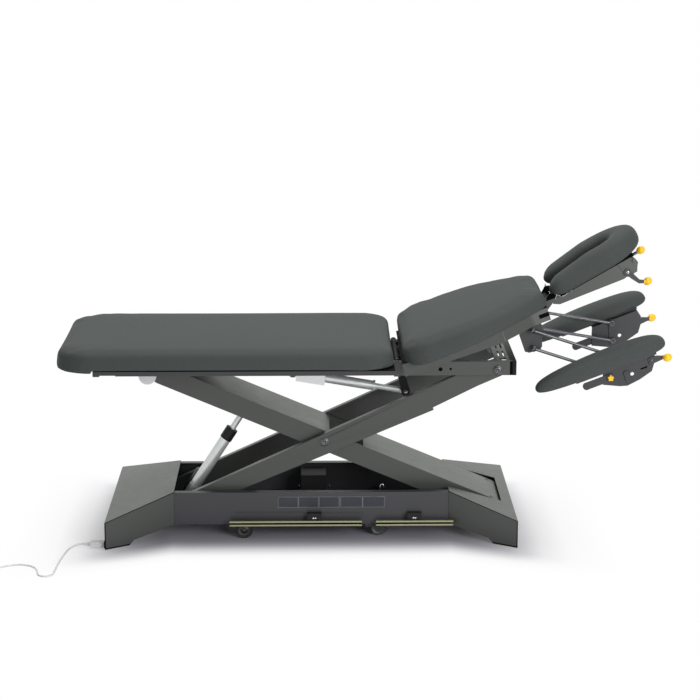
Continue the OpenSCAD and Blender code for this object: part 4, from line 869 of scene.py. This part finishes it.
        # Painted shade in the gap along the seam between the top sheet and the side sheet
        seam = (z > fall - COVER_SEAM_DOWN) * (out_y > flare - COVER_SEAM_IN)
        # A black band along the bottom of each cover and over its end face
        rubber = paint.larger((out_x > COVER_END) * (z < fall - COVER_END_BAND), z < COVER_BLACK_BAND)
        cover = paint.over(seam, pitch(paint), powder(paint, colours.frame_paint))
        cover = paint.over(rubber, pitch(paint), cover)
        made = paint.close(paint.over(dots, hole(paint), cover))
        for node in ("head_end_cover", "foot_end_cover"):
            dress(node, made)

    def pedals(self):
        """Pedal bars: anodised borders, a black band in the groove, and painted shade on the arms under the rails."""
        paint = Paint.on_material("pedal_finish")
        y, z = paint.place_in(LEVEL)[1:]
        groove = paint.between(z, PEDAL_Z - PEDAL_HALF_GROOVE, PEDAL_Z + PEDAL_HALF_GROOVE)
        face = paint.off(y) > PEDAL_FACE
        # Painted shade: the arms under the rails are painted deep black
        arm = paint.between(y, -PEDAL_ARM, PEDAL_ARM)
        bar = drawn_metal(paint, PEDAL_GOLD, 0.44, ALONG_X)
        made = paint.close(paint.over(paint.larger(groove * face, arm), pitch(paint), bar))
        for side in SIDES:
            for end in ("foot", "head"):
                dress("pedal_%s_%s" % (side, end), made)


# The lead's route from its strain relief to the coil, and the coil's measures, in millimetres from the middle of the
# base
LEAD_ROUTE = [
    (-722, -300, 13), (-734, -301, 12), (-747, -305, 9), (-758, -314, 5), (-765, -330, 3.2), (-769, -352, 3),
    (-773, -385, 3), (-777, -420, 3), (-780, -460, 3), (-782, -500, 3), (-783, -540, 3), (-785, -565, 3),
    (-792, -582, 3), (-808, -590, 3), (-824, -582, 3), (-832, -565, 3), (-836, -540, 3), (-844, -515, 3),
    (-858, -494, 3), (-878, -480, 3), (-902, -475, 3), (-930, -484, 3), (-955, -500, 3), (-978, -520, 3),
    (-1002, -537, 3), (-1024, -546, 3), (-1044, -548, 3),
]
LEAD_D = 6.0
COIL_CENTRE = (-1050.0, -590.0)
COIL_MEAN_R = 33.5
COIL_PITCH = 6.6
COIL_LAYERS = 4
COIL_LAYER_TURNS = 2.5
COIL_STEPS = 36
COIL_END_TURN = 0.25
PLUG_R = 19.5


def spline_point(points, t):
    """A point on the smooth curve through a list of points."""
    last = len(points) - 1
    i = min(int(t), last - 1)
    u = t - i
    a, b, c, d = (Vector(points[max(0, min(last, k))]) for k in (i - 1, i, i + 1, i + 2))
    return (2 * b + (c - a) * u + (2 * a - 5 * b + 4 * c - d) * u * u + (3 * b - a - 3 * c + d) * u ** 3) / 2


def coil_point(t):
    """A point of the wound coil after t turns, in millimetres from the middle of the base."""
    phase = min(t, COIL_LAYERS * COIL_LAYER_TURNS - 0.001) / COIL_LAYER_TURNS
    layer = int(phase)
    share = phase - layer
    out = 1 - share if layer % 2 == 0 else share
    radius = COIL_MEAN_R + COIL_PITCH * COIL_LAYER_TURNS * (out - 0.5)
    height = LEAD_D / 2 + COIL_PITCH * sum(ease((t - k * COIL_LAYER_TURNS) * 2 + 0.5) for k in range(1, COIL_LAYERS))
    angle = math.radians(90 + 360 * t)
    return Vector((COIL_CENTRE[0] + radius * math.cos(angle), COIL_CENTRE[1] + radius * math.sin(angle), height))


def smooth_line(points, steps=4):
    """Points along the smooth curve through a list of points."""
    return [spline_point(points, i / steps) for i in range((len(points) - 1) * steps + 1)]


def lead_path():
    """The whole lead from its strain relief to the plug, in metres in the row frame."""
    points = smooth_line(LEAD_ROUTE)
    total = COIL_LAYERS * COIL_LAYER_TURNS + COIL_END_TURN
    count = int(total * COIL_STEPS)
    points += [coil_point(total * i / count) for i in range(count + 1)]
    # It rises from the coil's last turn into the plug
    stop = points[-1]
    points += [stop + Vector((0, -10, -1)), Vector((stop.x, stop.y - 20, PLUG_R + 0.4))]
    points.append(Vector((stop.x, stop.y - 26, PLUG_R)))
    return [LEVEL @ p for p in points]


class TABLE_OT_lead(bpy.types.Operator):
    """Lays the mains lead on the floor, with its stored coil and plug"""

    bl_idname = "table.lead"
    bl_label = "Lay the mains lead"

    def execute(self, context):
        path = lead_path()
        curve = bpy.data.curves.new("mains_lead", "CURVE")
        curve.dimensions = "3D"
        spline = curve.splines.new("POLY")
        spline.points.add(len(path) - 1)
        for point, place in zip(spline.points, path):
            point.co = (*place, 1.0)
        curve.bevel_depth = LEAD_D / 2 * MM
        curve.bevel_resolution = 4
        curve.use_fill_caps = True
        curve.materials.append(FINISHES["pale_plastic"])
        lead = put("mains_lead", curve)
        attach(lead, "base")
        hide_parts("mains_cord", "mains_coil")
        return {"FINISHED"}


# The flat cushions: corner radii, the shoulder of the back cushion and half the width of its narrow end
LONG_RADII = [120, 92, 92, 120]
BACK_RADII = [100, 300, 88, 88, 300, 100]
BACK_SHOULDER = 285
BACK_TIP = 170
# The lower rims of their covers: how far up they are drawn, and how far down
LONG_LIP_HEIGHT = 28.0
LONG_LIP_DROP = 9.0
BACK_LIP_HEIGHT = 40.0
BACK_LIP_DROP = 16.0
# The back cushion's rim: less drop for each millimetre along, and the band across it over which it begins
BACK_LIP_TAPER = 0.05
BACK_LIP_START = 240.0
BACK_LIP_BAND = 10.0


class TABLE_OT_long_cushion(bpy.types.Operator):
    """Upholsters the long cushion of the top frame"""

    bl_idname = "table.long_cushion"
    bl_label = "Upholster the long cushion"

    def execute(self, context):
        sizes = context.scene.table_sizes
        low, high = corners_of("long_cushion", LEVEL)
        x0, x1, y1 = low.x - 3, high.x + 4, high.y - 1
        corners = [(x0, -y1), (x1, -y1), (x1, y1), (x0, y1)]
        form = cushion_block(LEVEL, corners, LONG_RADII, low.z, high.z, crown=3)
        piece = upholster(
            "long_cushion_cover", form, "top_frame", "long_cushion", sizes.cover_mesh, sizes.cushion_swell
        )
        board_low, board_high = corners_of("long_tray", LEVEL)

        def outside(p):
            return max(abs(p.y) - board_high.y, board_low.x - p.x)

        hang_lip(piece, LEVEL, low.z, LONG_LIP_HEIGHT, outside, lambda p: LONG_LIP_DROP)
        return {"FINISHED"}


class TABLE_OT_back_cushion(bpy.types.Operator):
    """Upholsters the cushion of the back section, which narrows towards the head"""

    bl_idname = "table.back_cushion"
    bl_label = "Upholster the back cushion"

    def execute(self, context):
        sizes = context.scene.table_sizes
        low, high = corners_of("back_cushion", BACK)
        x0, x1, y1 = low.x - 2, high.x + 10, high.y - 1
        shoulder = x0 + BACK_SHOULDER
        corners = [(x0, -y1), (shoulder, -y1), (x1, -BACK_TIP), (x1, BACK_TIP), (shoulder, y1), (x0, y1)]
        form = cushion_block(BACK, corners, BACK_RADII, low.z, high.z, crown=4)
        piece = upholster(
            "back_cushion_cover", form, "back_section", "back_cushion", sizes.cover_mesh, sizes.cushion_swell
        )

        def outside(p):
            return (abs(p.y) - BACK_LIP_START) / BACK_LIP_BAND

        def drop(p):
            return BACK_LIP_DROP - (p.x - x0) * BACK_LIP_TAPER

        hang_lip(piece, BACK, low.z, BACK_LIP_HEIGHT, outside, drop)
        return {"FINISHED"}


def blunt(value, power):
    """A share with its sign kept, raised to a power below one to square a round shape."""
    return math.copysign(abs(value) ** power, value)


# An armrest pad: its widest place as a share of its length, the bluntness of its head end and of the other, the
# thickness left at the foot end, and its rings from board to crown as shares of its outline and its height
PAD_WIDE = 0.6
PAD_BLUNT = {True: 0.7, False: 0.74}
PAD_THIN = 0.86
PAD_SCALES = [0.9, 0.985, 1.0, 0.985, 0.93, 0.8, 0.6, 0.36, 0.14]
PAD_HEIGHTS = [0.0, 0.1, 0.28, 0.5, 0.7, 0.86, 0.95, 0.99, 1.0]
PAD_ROOM = 0.5
PAD_RINGS = 24
PAD_SIDES = 72
PAD_REACH = 4


class TABLE_OT_armrest_pads(bpy.types.Operator):
    """Upholsters the two armrests: wings that are thick at the hand and thin at the elbow"""

    bl_idname = "table.armrest_pads"
    bl_label = "Upholster the armrests"

    def execute(self, context):
        sizes = context.scene.table_sizes
        for side in SIDES:
            form = Form(ARMREST[side])
            form.skin(self.rings(side))
            cover = (side + "_pad_cover", form, side + "_armrest", side + "_pad")
            upholster(*cover, 0.005, sizes.cushion_swell * 0.8, pressure=3.0)
        return {"FINISHED"}

    def rings(self, side):
        low, high = corners_of(side + "_pad", ARMREST[side])
        start, length = low.x - PAD_REACH, high.x - low.x + PAD_REACH
        wide_x, middle_y = start + length * PAD_WIDE, (low.y + high.y) / 2
        half, thick = (high.y - low.y) / 2 - PAD_ROOM, high.z - low.z - PAD_ROOM
        marks = list(zip(PAD_SCALES, PAD_HEIGHTS))
        rings = []
        for k in range(PAD_RINGS + 1):
            scale, rise = spline_point(marks, k / PAD_RINGS * (len(marks) - 1))
            ring = []
            for i in range(PAD_SIDES):
                a = 2 * math.pi * (i + 0.5) / PAD_SIDES
                head = math.cos(a) > 0
                reach = length * (1 - PAD_WIDE if head else PAD_WIDE)
                x = wide_x + reach * blunt(math.cos(a), PAD_BLUNT[head]) * scale
                y = middle_y + half * blunt(math.sin(a), PAD_BLUNT[head]) * scale
                full = PAD_THIN + (1 - PAD_THIN) * ease((x - start) / (wide_x - start))
                ring.append(Vector((x, y, low.z + thick * full * max(0.0, rise))))
            rings.append(ring)
        return rings


# The head roll: corners round it and rings along it, its height at the tips as a share of the full one, how far
# along its straight part it is full, the length of a rounded tip, how far it stands out of its solid sideways and
# at the tips, and how blunt its section is across and upwards
ROLL_SIDES = 28
ROLL_STEPS = 80
ROLL_LOW = 0.74
ROLL_RISE = 0.8
ROLL_TIP = 50.0
ROLL_OUT = 3.0
ROLL_REACH = 9
ROLL_BLUNT_ACROSS = 0.75
ROLL_BLUNT_UP = 0.7


class TABLE_OT_head_cushion(bpy.types.Operator):
    """Upholsters the head cushion: a roll swept round a U, lower at its two tips"""

    bl_idname = "table.head_cushion"
    bl_label = "Upholster the head cushion"

    def execute(self, context):
        sizes = context.scene.table_sizes
        form = Form(HEAD)
        form.skin(self.rings())
        cover = ("head_cushion_cover", form, "head_section", "head_cushion")
        upholster(*cover, 0.005, sizes.cushion_swell * 0.6, pressure=2.0, board=4.0)
        return {"FINISHED"}

    def rings(self):
        low, high = corners_of("head_cushion", HEAD)
        half = (high.y - self.inner_gap()) / 2 + ROLL_OUT
        roll_y = high.y - half + ROLL_OUT
        bend_x, start = high.x - high.y, low.x - ROLL_REACH
        straight, arc = bend_x - start, math.pi * roll_y
        total = straight * 2 + arc
        rings = []
        for k in range(ROLL_STEPS + 1):
            distance = total * k / ROLL_STEPS
            turn = min(math.pi, max(0.0, (distance - straight) / roll_y))
            beyond = max(0.0, straight - distance, distance - straight - arc)
            x, y = bend_x - beyond + roll_y * math.sin(turn), -roll_y * math.cos(turn)
            tip = min(1.0, min(distance, total - distance) / ROLL_TIP)
            size = math.sqrt(max(0.03, 1 - (1 - tip) ** 2))
            rise = min(1.0, max(0.0, (x - start) / (bend_x * ROLL_RISE)))
            height = (high.z - low.z + ROLL_OUT) * (ROLL_LOW + (1 - ROLL_LOW) * rise)
            ring = []
            for i in range(ROLL_SIDES):
                a = 2 * math.pi * (i + 0.5) / ROLL_SIDES
                across = half * size * blunt(math.cos(a), ROLL_BLUNT_ACROSS)
                up = height / 2 * size * blunt(math.sin(a), ROLL_BLUNT_UP)
                ring.append(Vector((x + across * math.sin(turn), y - across * math.cos(turn), low.z + height / 2 + up)))
            rings.append(ring)
        return rings

    def inner_gap(self):
        """Distance of the roll's inner side from the middle plane, along its straight part."""
        back = HEAD.inverted()
        places = [back @ v.co for v in NODES["head_cushion"].data.vertices]
        return min(abs(p.y) for p in places if p.x < 150.0)


# Small pieces that the CAD model leaves out


# Their profiles list radius, reach and number of corners, 0 for round
SOCKET_LOW = [
    (14.2, 0.1, 0), (14.2, 2.3, 0), (13.6, 2.8, 0), (10.9, 2.8, 0), (10.9, 5.6, 0), (10.1, 6.2, 0),
    (6.6, 6.2, 0), (6.2, 6.2, 6), (5.9, 3.8, 6),
]
SOCKET_HIGH = [
    (14.2, 0.1, 0), (14.2, 3.8, 0), (13.6, 4.2, 0), (10.9, 4.2, 0), (10.9, 8.6, 0), (10.1, 9.2, 0),
    (6.6, 9.2, 0), (6.2, 9.2, 6), (5.9, 7.6, 6),
]
NUT = [(8.6, 0.0, 0), (8.6, 1.2, 0), (7.6, 1.4, 6), (7.6, 5.4, 6), (6.4, 6.2, 0), (4.2, 6.3, 0), (4.0, 7.4, 0)]
PLUNGER = [(3.0, 0.0, 0), (3.0, 2.0, 0), (2.4, 2.6, 0), (1.0, 2.8, 0)]
SMALL_SCREW = [(5.6, 0.0, 0), (5.6, 1.6, 0), (4.4, 2.8, 0), (2.7, 2.9, 0), (2.5, 2.9, 6), (2.3, 1.4, 6)]
# Places in their sections, in millimetres: X and Z, and how far across the face is on which they sit
ROD_PINS = [(437, -42), (422, -99)]
ROD_PIN_FACE = 183.0
LEVER_SCREW = (88, 10)
LEVER_FACE = 196.6
HEAD_SCREW = (282, -28)
HEAD_FACE = 60.0
HEAD_PIN = (248, -52)
HEAD_PIN_FACE = 64.0
ARM_END = (-24, 100)
SWITCH_XS = [9.0, 329.0]
PLUNGER_Z = 67.0
RAIL_SCREW_XS = [-41, 60]
RAIL_SCREW_Z = 60.6
RAIL_SHEET = 2.1
# The rim of a castor: shares of its radius, and reach
CASTOR_RIM = [(0.93, 0.0), (0.92, 1.2), (0.86, 1.2), (0.85, 0.1), (0.3, 0.1), (0.28, 1.0), (0.12, 1.1), (0.1, 0.4)]


def fit(name, finish, body, place, face, spots, profile):
    """One piece of equal screws at X and Z of a section, on faces given by how far across they are."""
    form = Form(place)
    for across in face:
        for x, z in spots:
            form.turned(Vector((x, across, z)), profile, math.copysign(1.0, across))
    form.make(name, finish, body)


class TABLE_OT_fasteners(bpy.types.Operator):
    """Adds socket screws, nuts and washers at the pivots"""

    bl_idname = "table.fasteners"
    bl_label = "Fit the screws"

    def execute(self, context):
        for side in SIDES:
            out = SIGN[side]
            arm = Form(OUTER_ARM)
            arm.turned(Vector((ARM_MIDDLE, out * OUTER_FACE, 0)), SOCKET_LOW, out)
            arm.turned(Vector((ARM_LENGTH, out * (TOP_RAIL_FACE + 0.2), 0)), SOCKET_HIGH, out)
            arm.make(side + "_scissor_screws", "dark_steel", "outer_scissor")
            fit(side + "_rod_nuts", "dark_steel", "back_section", BACK, [out * ROD_PIN_FACE], ROD_PINS, NUT)
            hub = (ARMREST[side], [out * LEVER_FACE], [LEVER_SCREW], SMALL_SCREW)
            fit(side + "_lever_screw", "dark_steel", side + "_armrest", *hub)
        fit("head_screws", "dark_steel", "head_section", HEAD, [-HEAD_FACE, HEAD_FACE], [HEAD_SCREW], SMALL_SCREW)
        fit("head_lever_screw", "bright_steel", "head_section", HEAD, [-HEAD_PIN_FACE], [HEAD_PIN], SMALL_SCREW)
        top = corners_of("inner_arm", INNER_ARM)[1].z
        for out in SIGN.values():
            upright = Matrix.Translation((ARM_END[0], out * ARM_END[1], top)) @ Matrix.Rotation(math.pi / 2, 4, "X")
            screw = Form(INNER_ARM @ upright)
            screw.turned(Vector((0, -1.5, 0)), SMALL_SCREW)
            screw.make("arm_end_screw", "dark_steel", "inner_scissor")
        return {"FINISHED"}


# Label plates: name, left and right end, and number of fields
PLATES = (("left_plate", -107.7, 89.4, 3), ("right_plate", 92.6, 234.6, 2))
PLATE_LOW, PLATE_HIGH = 96.5, 132.4
PLATE_BORDER = 1.8
# The bent wires: X and Z of their points
HEAD_HOOK = [(1, 20), (-2, 7), (5, -8), (14, -4), (18, -3), (26, -12), (38, -16), (55, -12), (66, -15)]
CABLE_HOOK = [(222, 120), (222, 136), (225, 146), (231, 148), (234, 142), (232, 134)]


class TABLE_OT_small_pieces(bpy.types.Operator):
    """Adds the blank plates, the switch plungers, the head hooks and the wheel rims"""

    bl_idname = "table.small_pieces"
    bl_label = "Add the small pieces"

    def execute(self, context):
        self.plates()
        self.plungers()
        self.rims()
        self.hooks()
        self.rail_fittings()
        return {"FINISHED"}

    def rail_fittings(self):
        """Two screws on the inner face of the far rail."""
        screws = Form(LEVEL)
        for x in RAIL_SCREW_XS:
            screws.turned(Vector((x, RAIL_FACE - RAIL_SHEET, RAIL_SCREW_Z)), PLUNGER, -1, 16)
        screws.make("rail_screws", "bright_steel", "base")

    def plates(self):
        """Two label plates on the near rail, left blank, with a pale border."""
        for name, x0, x1, fields in PLATES:
            border = Form(LEVEL)
            edge = [(x0, PLATE_LOW), (x1, PLATE_LOW), (x1, PLATE_HIGH), (x0, PLATE_HIGH)]
            border.slab(edge, -RAIL_FACE - 0.5, -RAIL_FACE)
            border.make(name + "_border", "plate_border", "base")
            inner = Form(LEVEL)
            step = (x1 - x0) / fields
            low, high = PLATE_LOW + PLATE_BORDER, PLATE_HIGH - PLATE_BORDER
            for k in range(fields):
                left, right = x0 + step * k + PLATE_BORDER, x0 + step * (k + 1) - PLATE_BORDER
                field = [(left, low), (right, low), (right, high), (left, high)]
                inner.slab(field, -RAIL_FACE - 0.7, -RAIL_FACE)
            inner.make(name, "blank_plate", "base")

    def plungers(self):
        """Two small steel rollers under each pedal switch."""
        face = corners_of("pedal_switch_boxes", LEVEL)[1].y + 0.1
        form = Form(LEVEL)
        for side in SIDES:
            for x in SWITCH_XS:
                for step in (-3.5, 3.5):
                    form.turned(Vector((x + step, SIGN[side] * face, PLUNGER_Z)), PLUNGER, SIGN[side], 16)
        form.make("switch_plungers", "bright_steel", "base")

    def rims(self):
        """A raised steel rim on the outer face of each castor."""
        for node, body in (("castor_wheels_foot", "foot_castors"), ("castor_wheels_head", "head_castors")):
            low, high = corners_of(node, LEVEL)
            centre = (low + high) / 2
            radius = (high.z - low.z) / 2
            profile = [(radius * share, reach, 0) for share, reach in CASTOR_RIM]
            form = Form(LEVEL)
            for out in SIGN.values():
                form.turned(Vector((centre.x, out * (high.y - 0.4), centre.z)), profile, out, 40)
            form.make(node + "_rims", "castor_rim", body)

    def hooks(self):
        """Bent steel hooks beside the head hinge, and one for a cable on the floor pan."""
        form = Form(HEAD)
        for out in SIGN.values():
            form.tube([Vector((p.x, out * (HEAD_FACE + 4.0), p.y)) for p in smooth_line(HEAD_HOOK)], 1.9)
            form.turned(Vector((5, out * HEAD_FACE, -9)), SMALL_SCREW, out, 20)
        form.make("head_hooks", "bright_steel", "head_section")
        form = Form(LEVEL)
        form.tube([Vector((x, -100, z)) for x, z in CABLE_HOOK], 1.6)
        form.make("cable_hook", "bright_steel", "base")


# The camera: millimetres from the middle of the base, its look down and to the side, and its lens
CAMERA_PLACE = (17.35, -6807.34, 2082.59)
CAMERA_DOWN = math.radians(12.52)
CAMERA_TURN = math.radians(0.918)
CAMERA_LENS = 110.57
# Each lamp's place and target in metres from the middle of the base, its size and its power
LAMPS = {
    "top_lamp": ((0.0, 0.9, 4.2), (0.0, 0.0, 0.3), 4.0, 135.0),
    "front_lamp": ((2.4, -3.8, 1.5), (0.7, 0.0, 0.6), 2.0, 95.0),
}
# Colour and strength of what diffuse rays, mirrors and the camera see beyond the table
AMBIENT = ((0.96, 0.98, 1.0, 1.0), 0.35)
WALLS = ((0.97, 1.0, 0.955, 1.0), 1.0)
BACKDROP = ((1.0, 1.0, 1.0, 1.0), 1.0)
# The floor: where its paper gets a painted shadow round the base and from where it glows, in millimetres, and both
# shares by the distance from there, in metres
FLOOR_REACH = 14.0
BASE_HALF_WIDTH = 205.0
GLOW_START = 360.0
GLOW_STRETCH = 0.4
PAINTED_SHADOW_START = 600.0
FLOOR_FADE = [(0.0, 0.0), (0.05, 0.02), (0.08, 0.1), (0.13, 0.42), (0.18, 0.88), (0.24, 1.0)]
FLOOR_PAINTED_SHADOW = [(0.0, 0.0), (0.03, 0.06), (0.08, 0.45), (0.13, 1.0)]


class TABLE_OT_stage(bpy.types.Operator):
    """Sets up the camera, the white floor and the studio lamps"""

    bl_idname = "table.stage"
    bl_label = "Set the stage"

    def execute(self, context):
        scene = context.scene
        scene.view_settings.view_transform = "Standard"
        self.camera(scene)
        self.floor()
        self.world(scene)
        for name, values in LAMPS.items():
            self.lamp(name, *values)
        return {"FINISHED"}

    def camera(self, scene):
        """The camera at the photograph's place, fitted to the corners of the base."""
        data = bpy.data.cameras.new("camera")
        data.lens = CAMERA_LENS
        data.sensor_width = 36.0
        data.clip_end = 100.0
        camera = put("camera", data)
        camera.location = LEVEL @ Vector(CAMERA_PLACE)
        camera.rotation_euler = (math.pi / 2 - CAMERA_DOWN, 0.0, -CAMERA_TURN)
        scene.camera = camera

    def floor(self):
        """White paper with a painted shadow round the base: its own light grows with the distance from the table, so
        only the shadow stays.
        """
        mesh = bpy.data.meshes.new("studio_floor")
        corners = [(x * FLOOR_REACH, y * FLOOR_REACH, 0.0) for x, y in ((-1, -1), (1, -1), (1, 1), (-1, 1))]
        mesh.from_pydata(corners, [], [(0, 1, 2, 3)])
        floor = put("studio_floor", mesh)
        paint = Paint.on_material("studio_floor")
        x, y = paint.place_in(LEVEL)[:2]
        out_x, out_y = paint.off(x), paint.off(y)
        flare = paint.larger(out_x - COVER_START, 0.0) * COVER_FLARE
        across = paint.larger(out_y - flare - BASE_HALF_WIDTH, 0.0)
        glowing = paint.larger(out_x - GLOW_START, 0.0) * GLOW_STRETCH
        shaded = paint.larger(out_x - PAINTED_SHADOW_START, 0.0)
        far = paint.ramp((glowing * glowing + across * across) ** 0.5 * MM, FLOOR_FADE)
        shade = paint.ramp((shaded * shaded + across * across) ** 0.5 * MM, FLOOR_PAINTED_SHADOW)
        paper = paint.mix(paint.noise(2.0, 2.0), (0.93, 0.92, 0.955, 1.0), (0.945, 0.935, 0.965, 1.0))
        # Painted shadow: towards the base the paper is mixed into a dark violet
        paper = paint.mix(shade, (0.4, 0.385, 0.44, 1.0), paper)
        matt = {"Base Color": paper, "Roughness": 0.9, "Specular IOR Level": 0.1}
        lit = paint.node("ShaderNodeBsdfPrincipled", None, matt)
        glow = paint.node("ShaderNodeEmission", None, {"Color": (1.0, 1.0, 1.0, 1.0), "Strength": 1.0})
        share = paint.larger(paint.ray("Camera"), paint.ray("Glossy")) * far
        paint.surface(paint.node("ShaderNodeMixShader", None, {0: share, 1: lit, 2: glow}))
        mesh.materials.append(paint.material)

    def world(self, scene):
        """White for the camera and behind glass, pale walls in mirrors, and a softer light on surfaces."""
        world = bpy.data.worlds.new("studio")
        world.use_nodes = True
        paint = Paint(world.node_tree)
        ambient, walls, backdrop = (
            paint.node("ShaderNodeBackground", None, {"Color": colour, "Strength": strength})
            for colour, strength in (AMBIENT, WALLS, BACKDROP)
        )
        mixed = paint.node("ShaderNodeMixShader", None, {0: paint.ray("Glossy"), 1: ambient, 2: walls})
        seen = paint.larger(paint.ray("Camera"), paint.ray("Transmission"))
        mixed = paint.node("ShaderNodeMixShader", None, {0: seen, 1: mixed, 2: backdrop})
        paint.surface(mixed, "ShaderNodeOutputWorld")
        scene.world = world

    def lamp(self, name, place, target, size, power):
        """A round lamp that shines at its target."""
        data = bpy.data.lights.new(name, "AREA")
        data.shape = "DISK"
        data.size = size
        data.energy = power
        lamp = put(name, data)
        lamp.location = Vector((LEVEL.translation.x, 0.0, 0.0)) + Vector(place)
        lamp.rotation_euler = (Vector(target) - Vector(place)).to_track_quat("-Z", "Y").to_euler()


class TABLE_PT_panel(bpy.types.Panel):
    """Lists the steps that dress the table"""

    bl_label = "Treatment table"
    bl_idname = "TABLE_PT_panel"
    bl_space_type = "VIEW_3D"
    bl_region_type = "UI"
    bl_category = "Table"

    def draw(self, context):
        column = self.layout.column()
        for name in TableColours.__annotations__:
            column.prop(context.scene.table_colours, name)
        for name in TableSizes.__annotations__:
            column.prop(context.scene.table_sizes, name)
        for step in STEPS:
            column.operator(step.bl_idname)


STEPS = (
    TABLE_OT_frame,
    TABLE_OT_lead,
    TABLE_OT_long_cushion,
    TABLE_OT_back_cushion,
    TABLE_OT_armrest_pads,
    TABLE_OT_head_cushion,
    TABLE_OT_fasteners,
    TABLE_OT_small_pieces,
    TABLE_OT_stage,
)
CLASSES = (TableColours, TableSizes, *STEPS, TABLE_PT_panel)


def register():
    for entry in CLASSES:
        bpy.utils.register_class(entry)
    bpy.types.Scene.table_colours = bpy.props.PointerProperty(type=TableColours)
    bpy.types.Scene.table_sizes = bpy.props.PointerProperty(type=TableSizes)


def unregister():
    del bpy.types.Scene.table_sizes
    del bpy.types.Scene.table_colours
    for entry in reversed(CLASSES):
        bpy.utils.unregister_class(entry)


def main():
    register()
    bpy.ops.table.frame()
    bpy.ops.table.lead()
    bpy.ops.table.long_cushion()
    bpy.ops.table.back_cushion()
    bpy.ops.table.armrest_pads()
    bpy.ops.table.head_cushion()
    bpy.ops.table.fasteners()
    bpy.ops.table.small_pieces()
    bpy.ops.table.stage()
    bpy.context.view_layer.update()


if __name__ == "__main__":
    main()
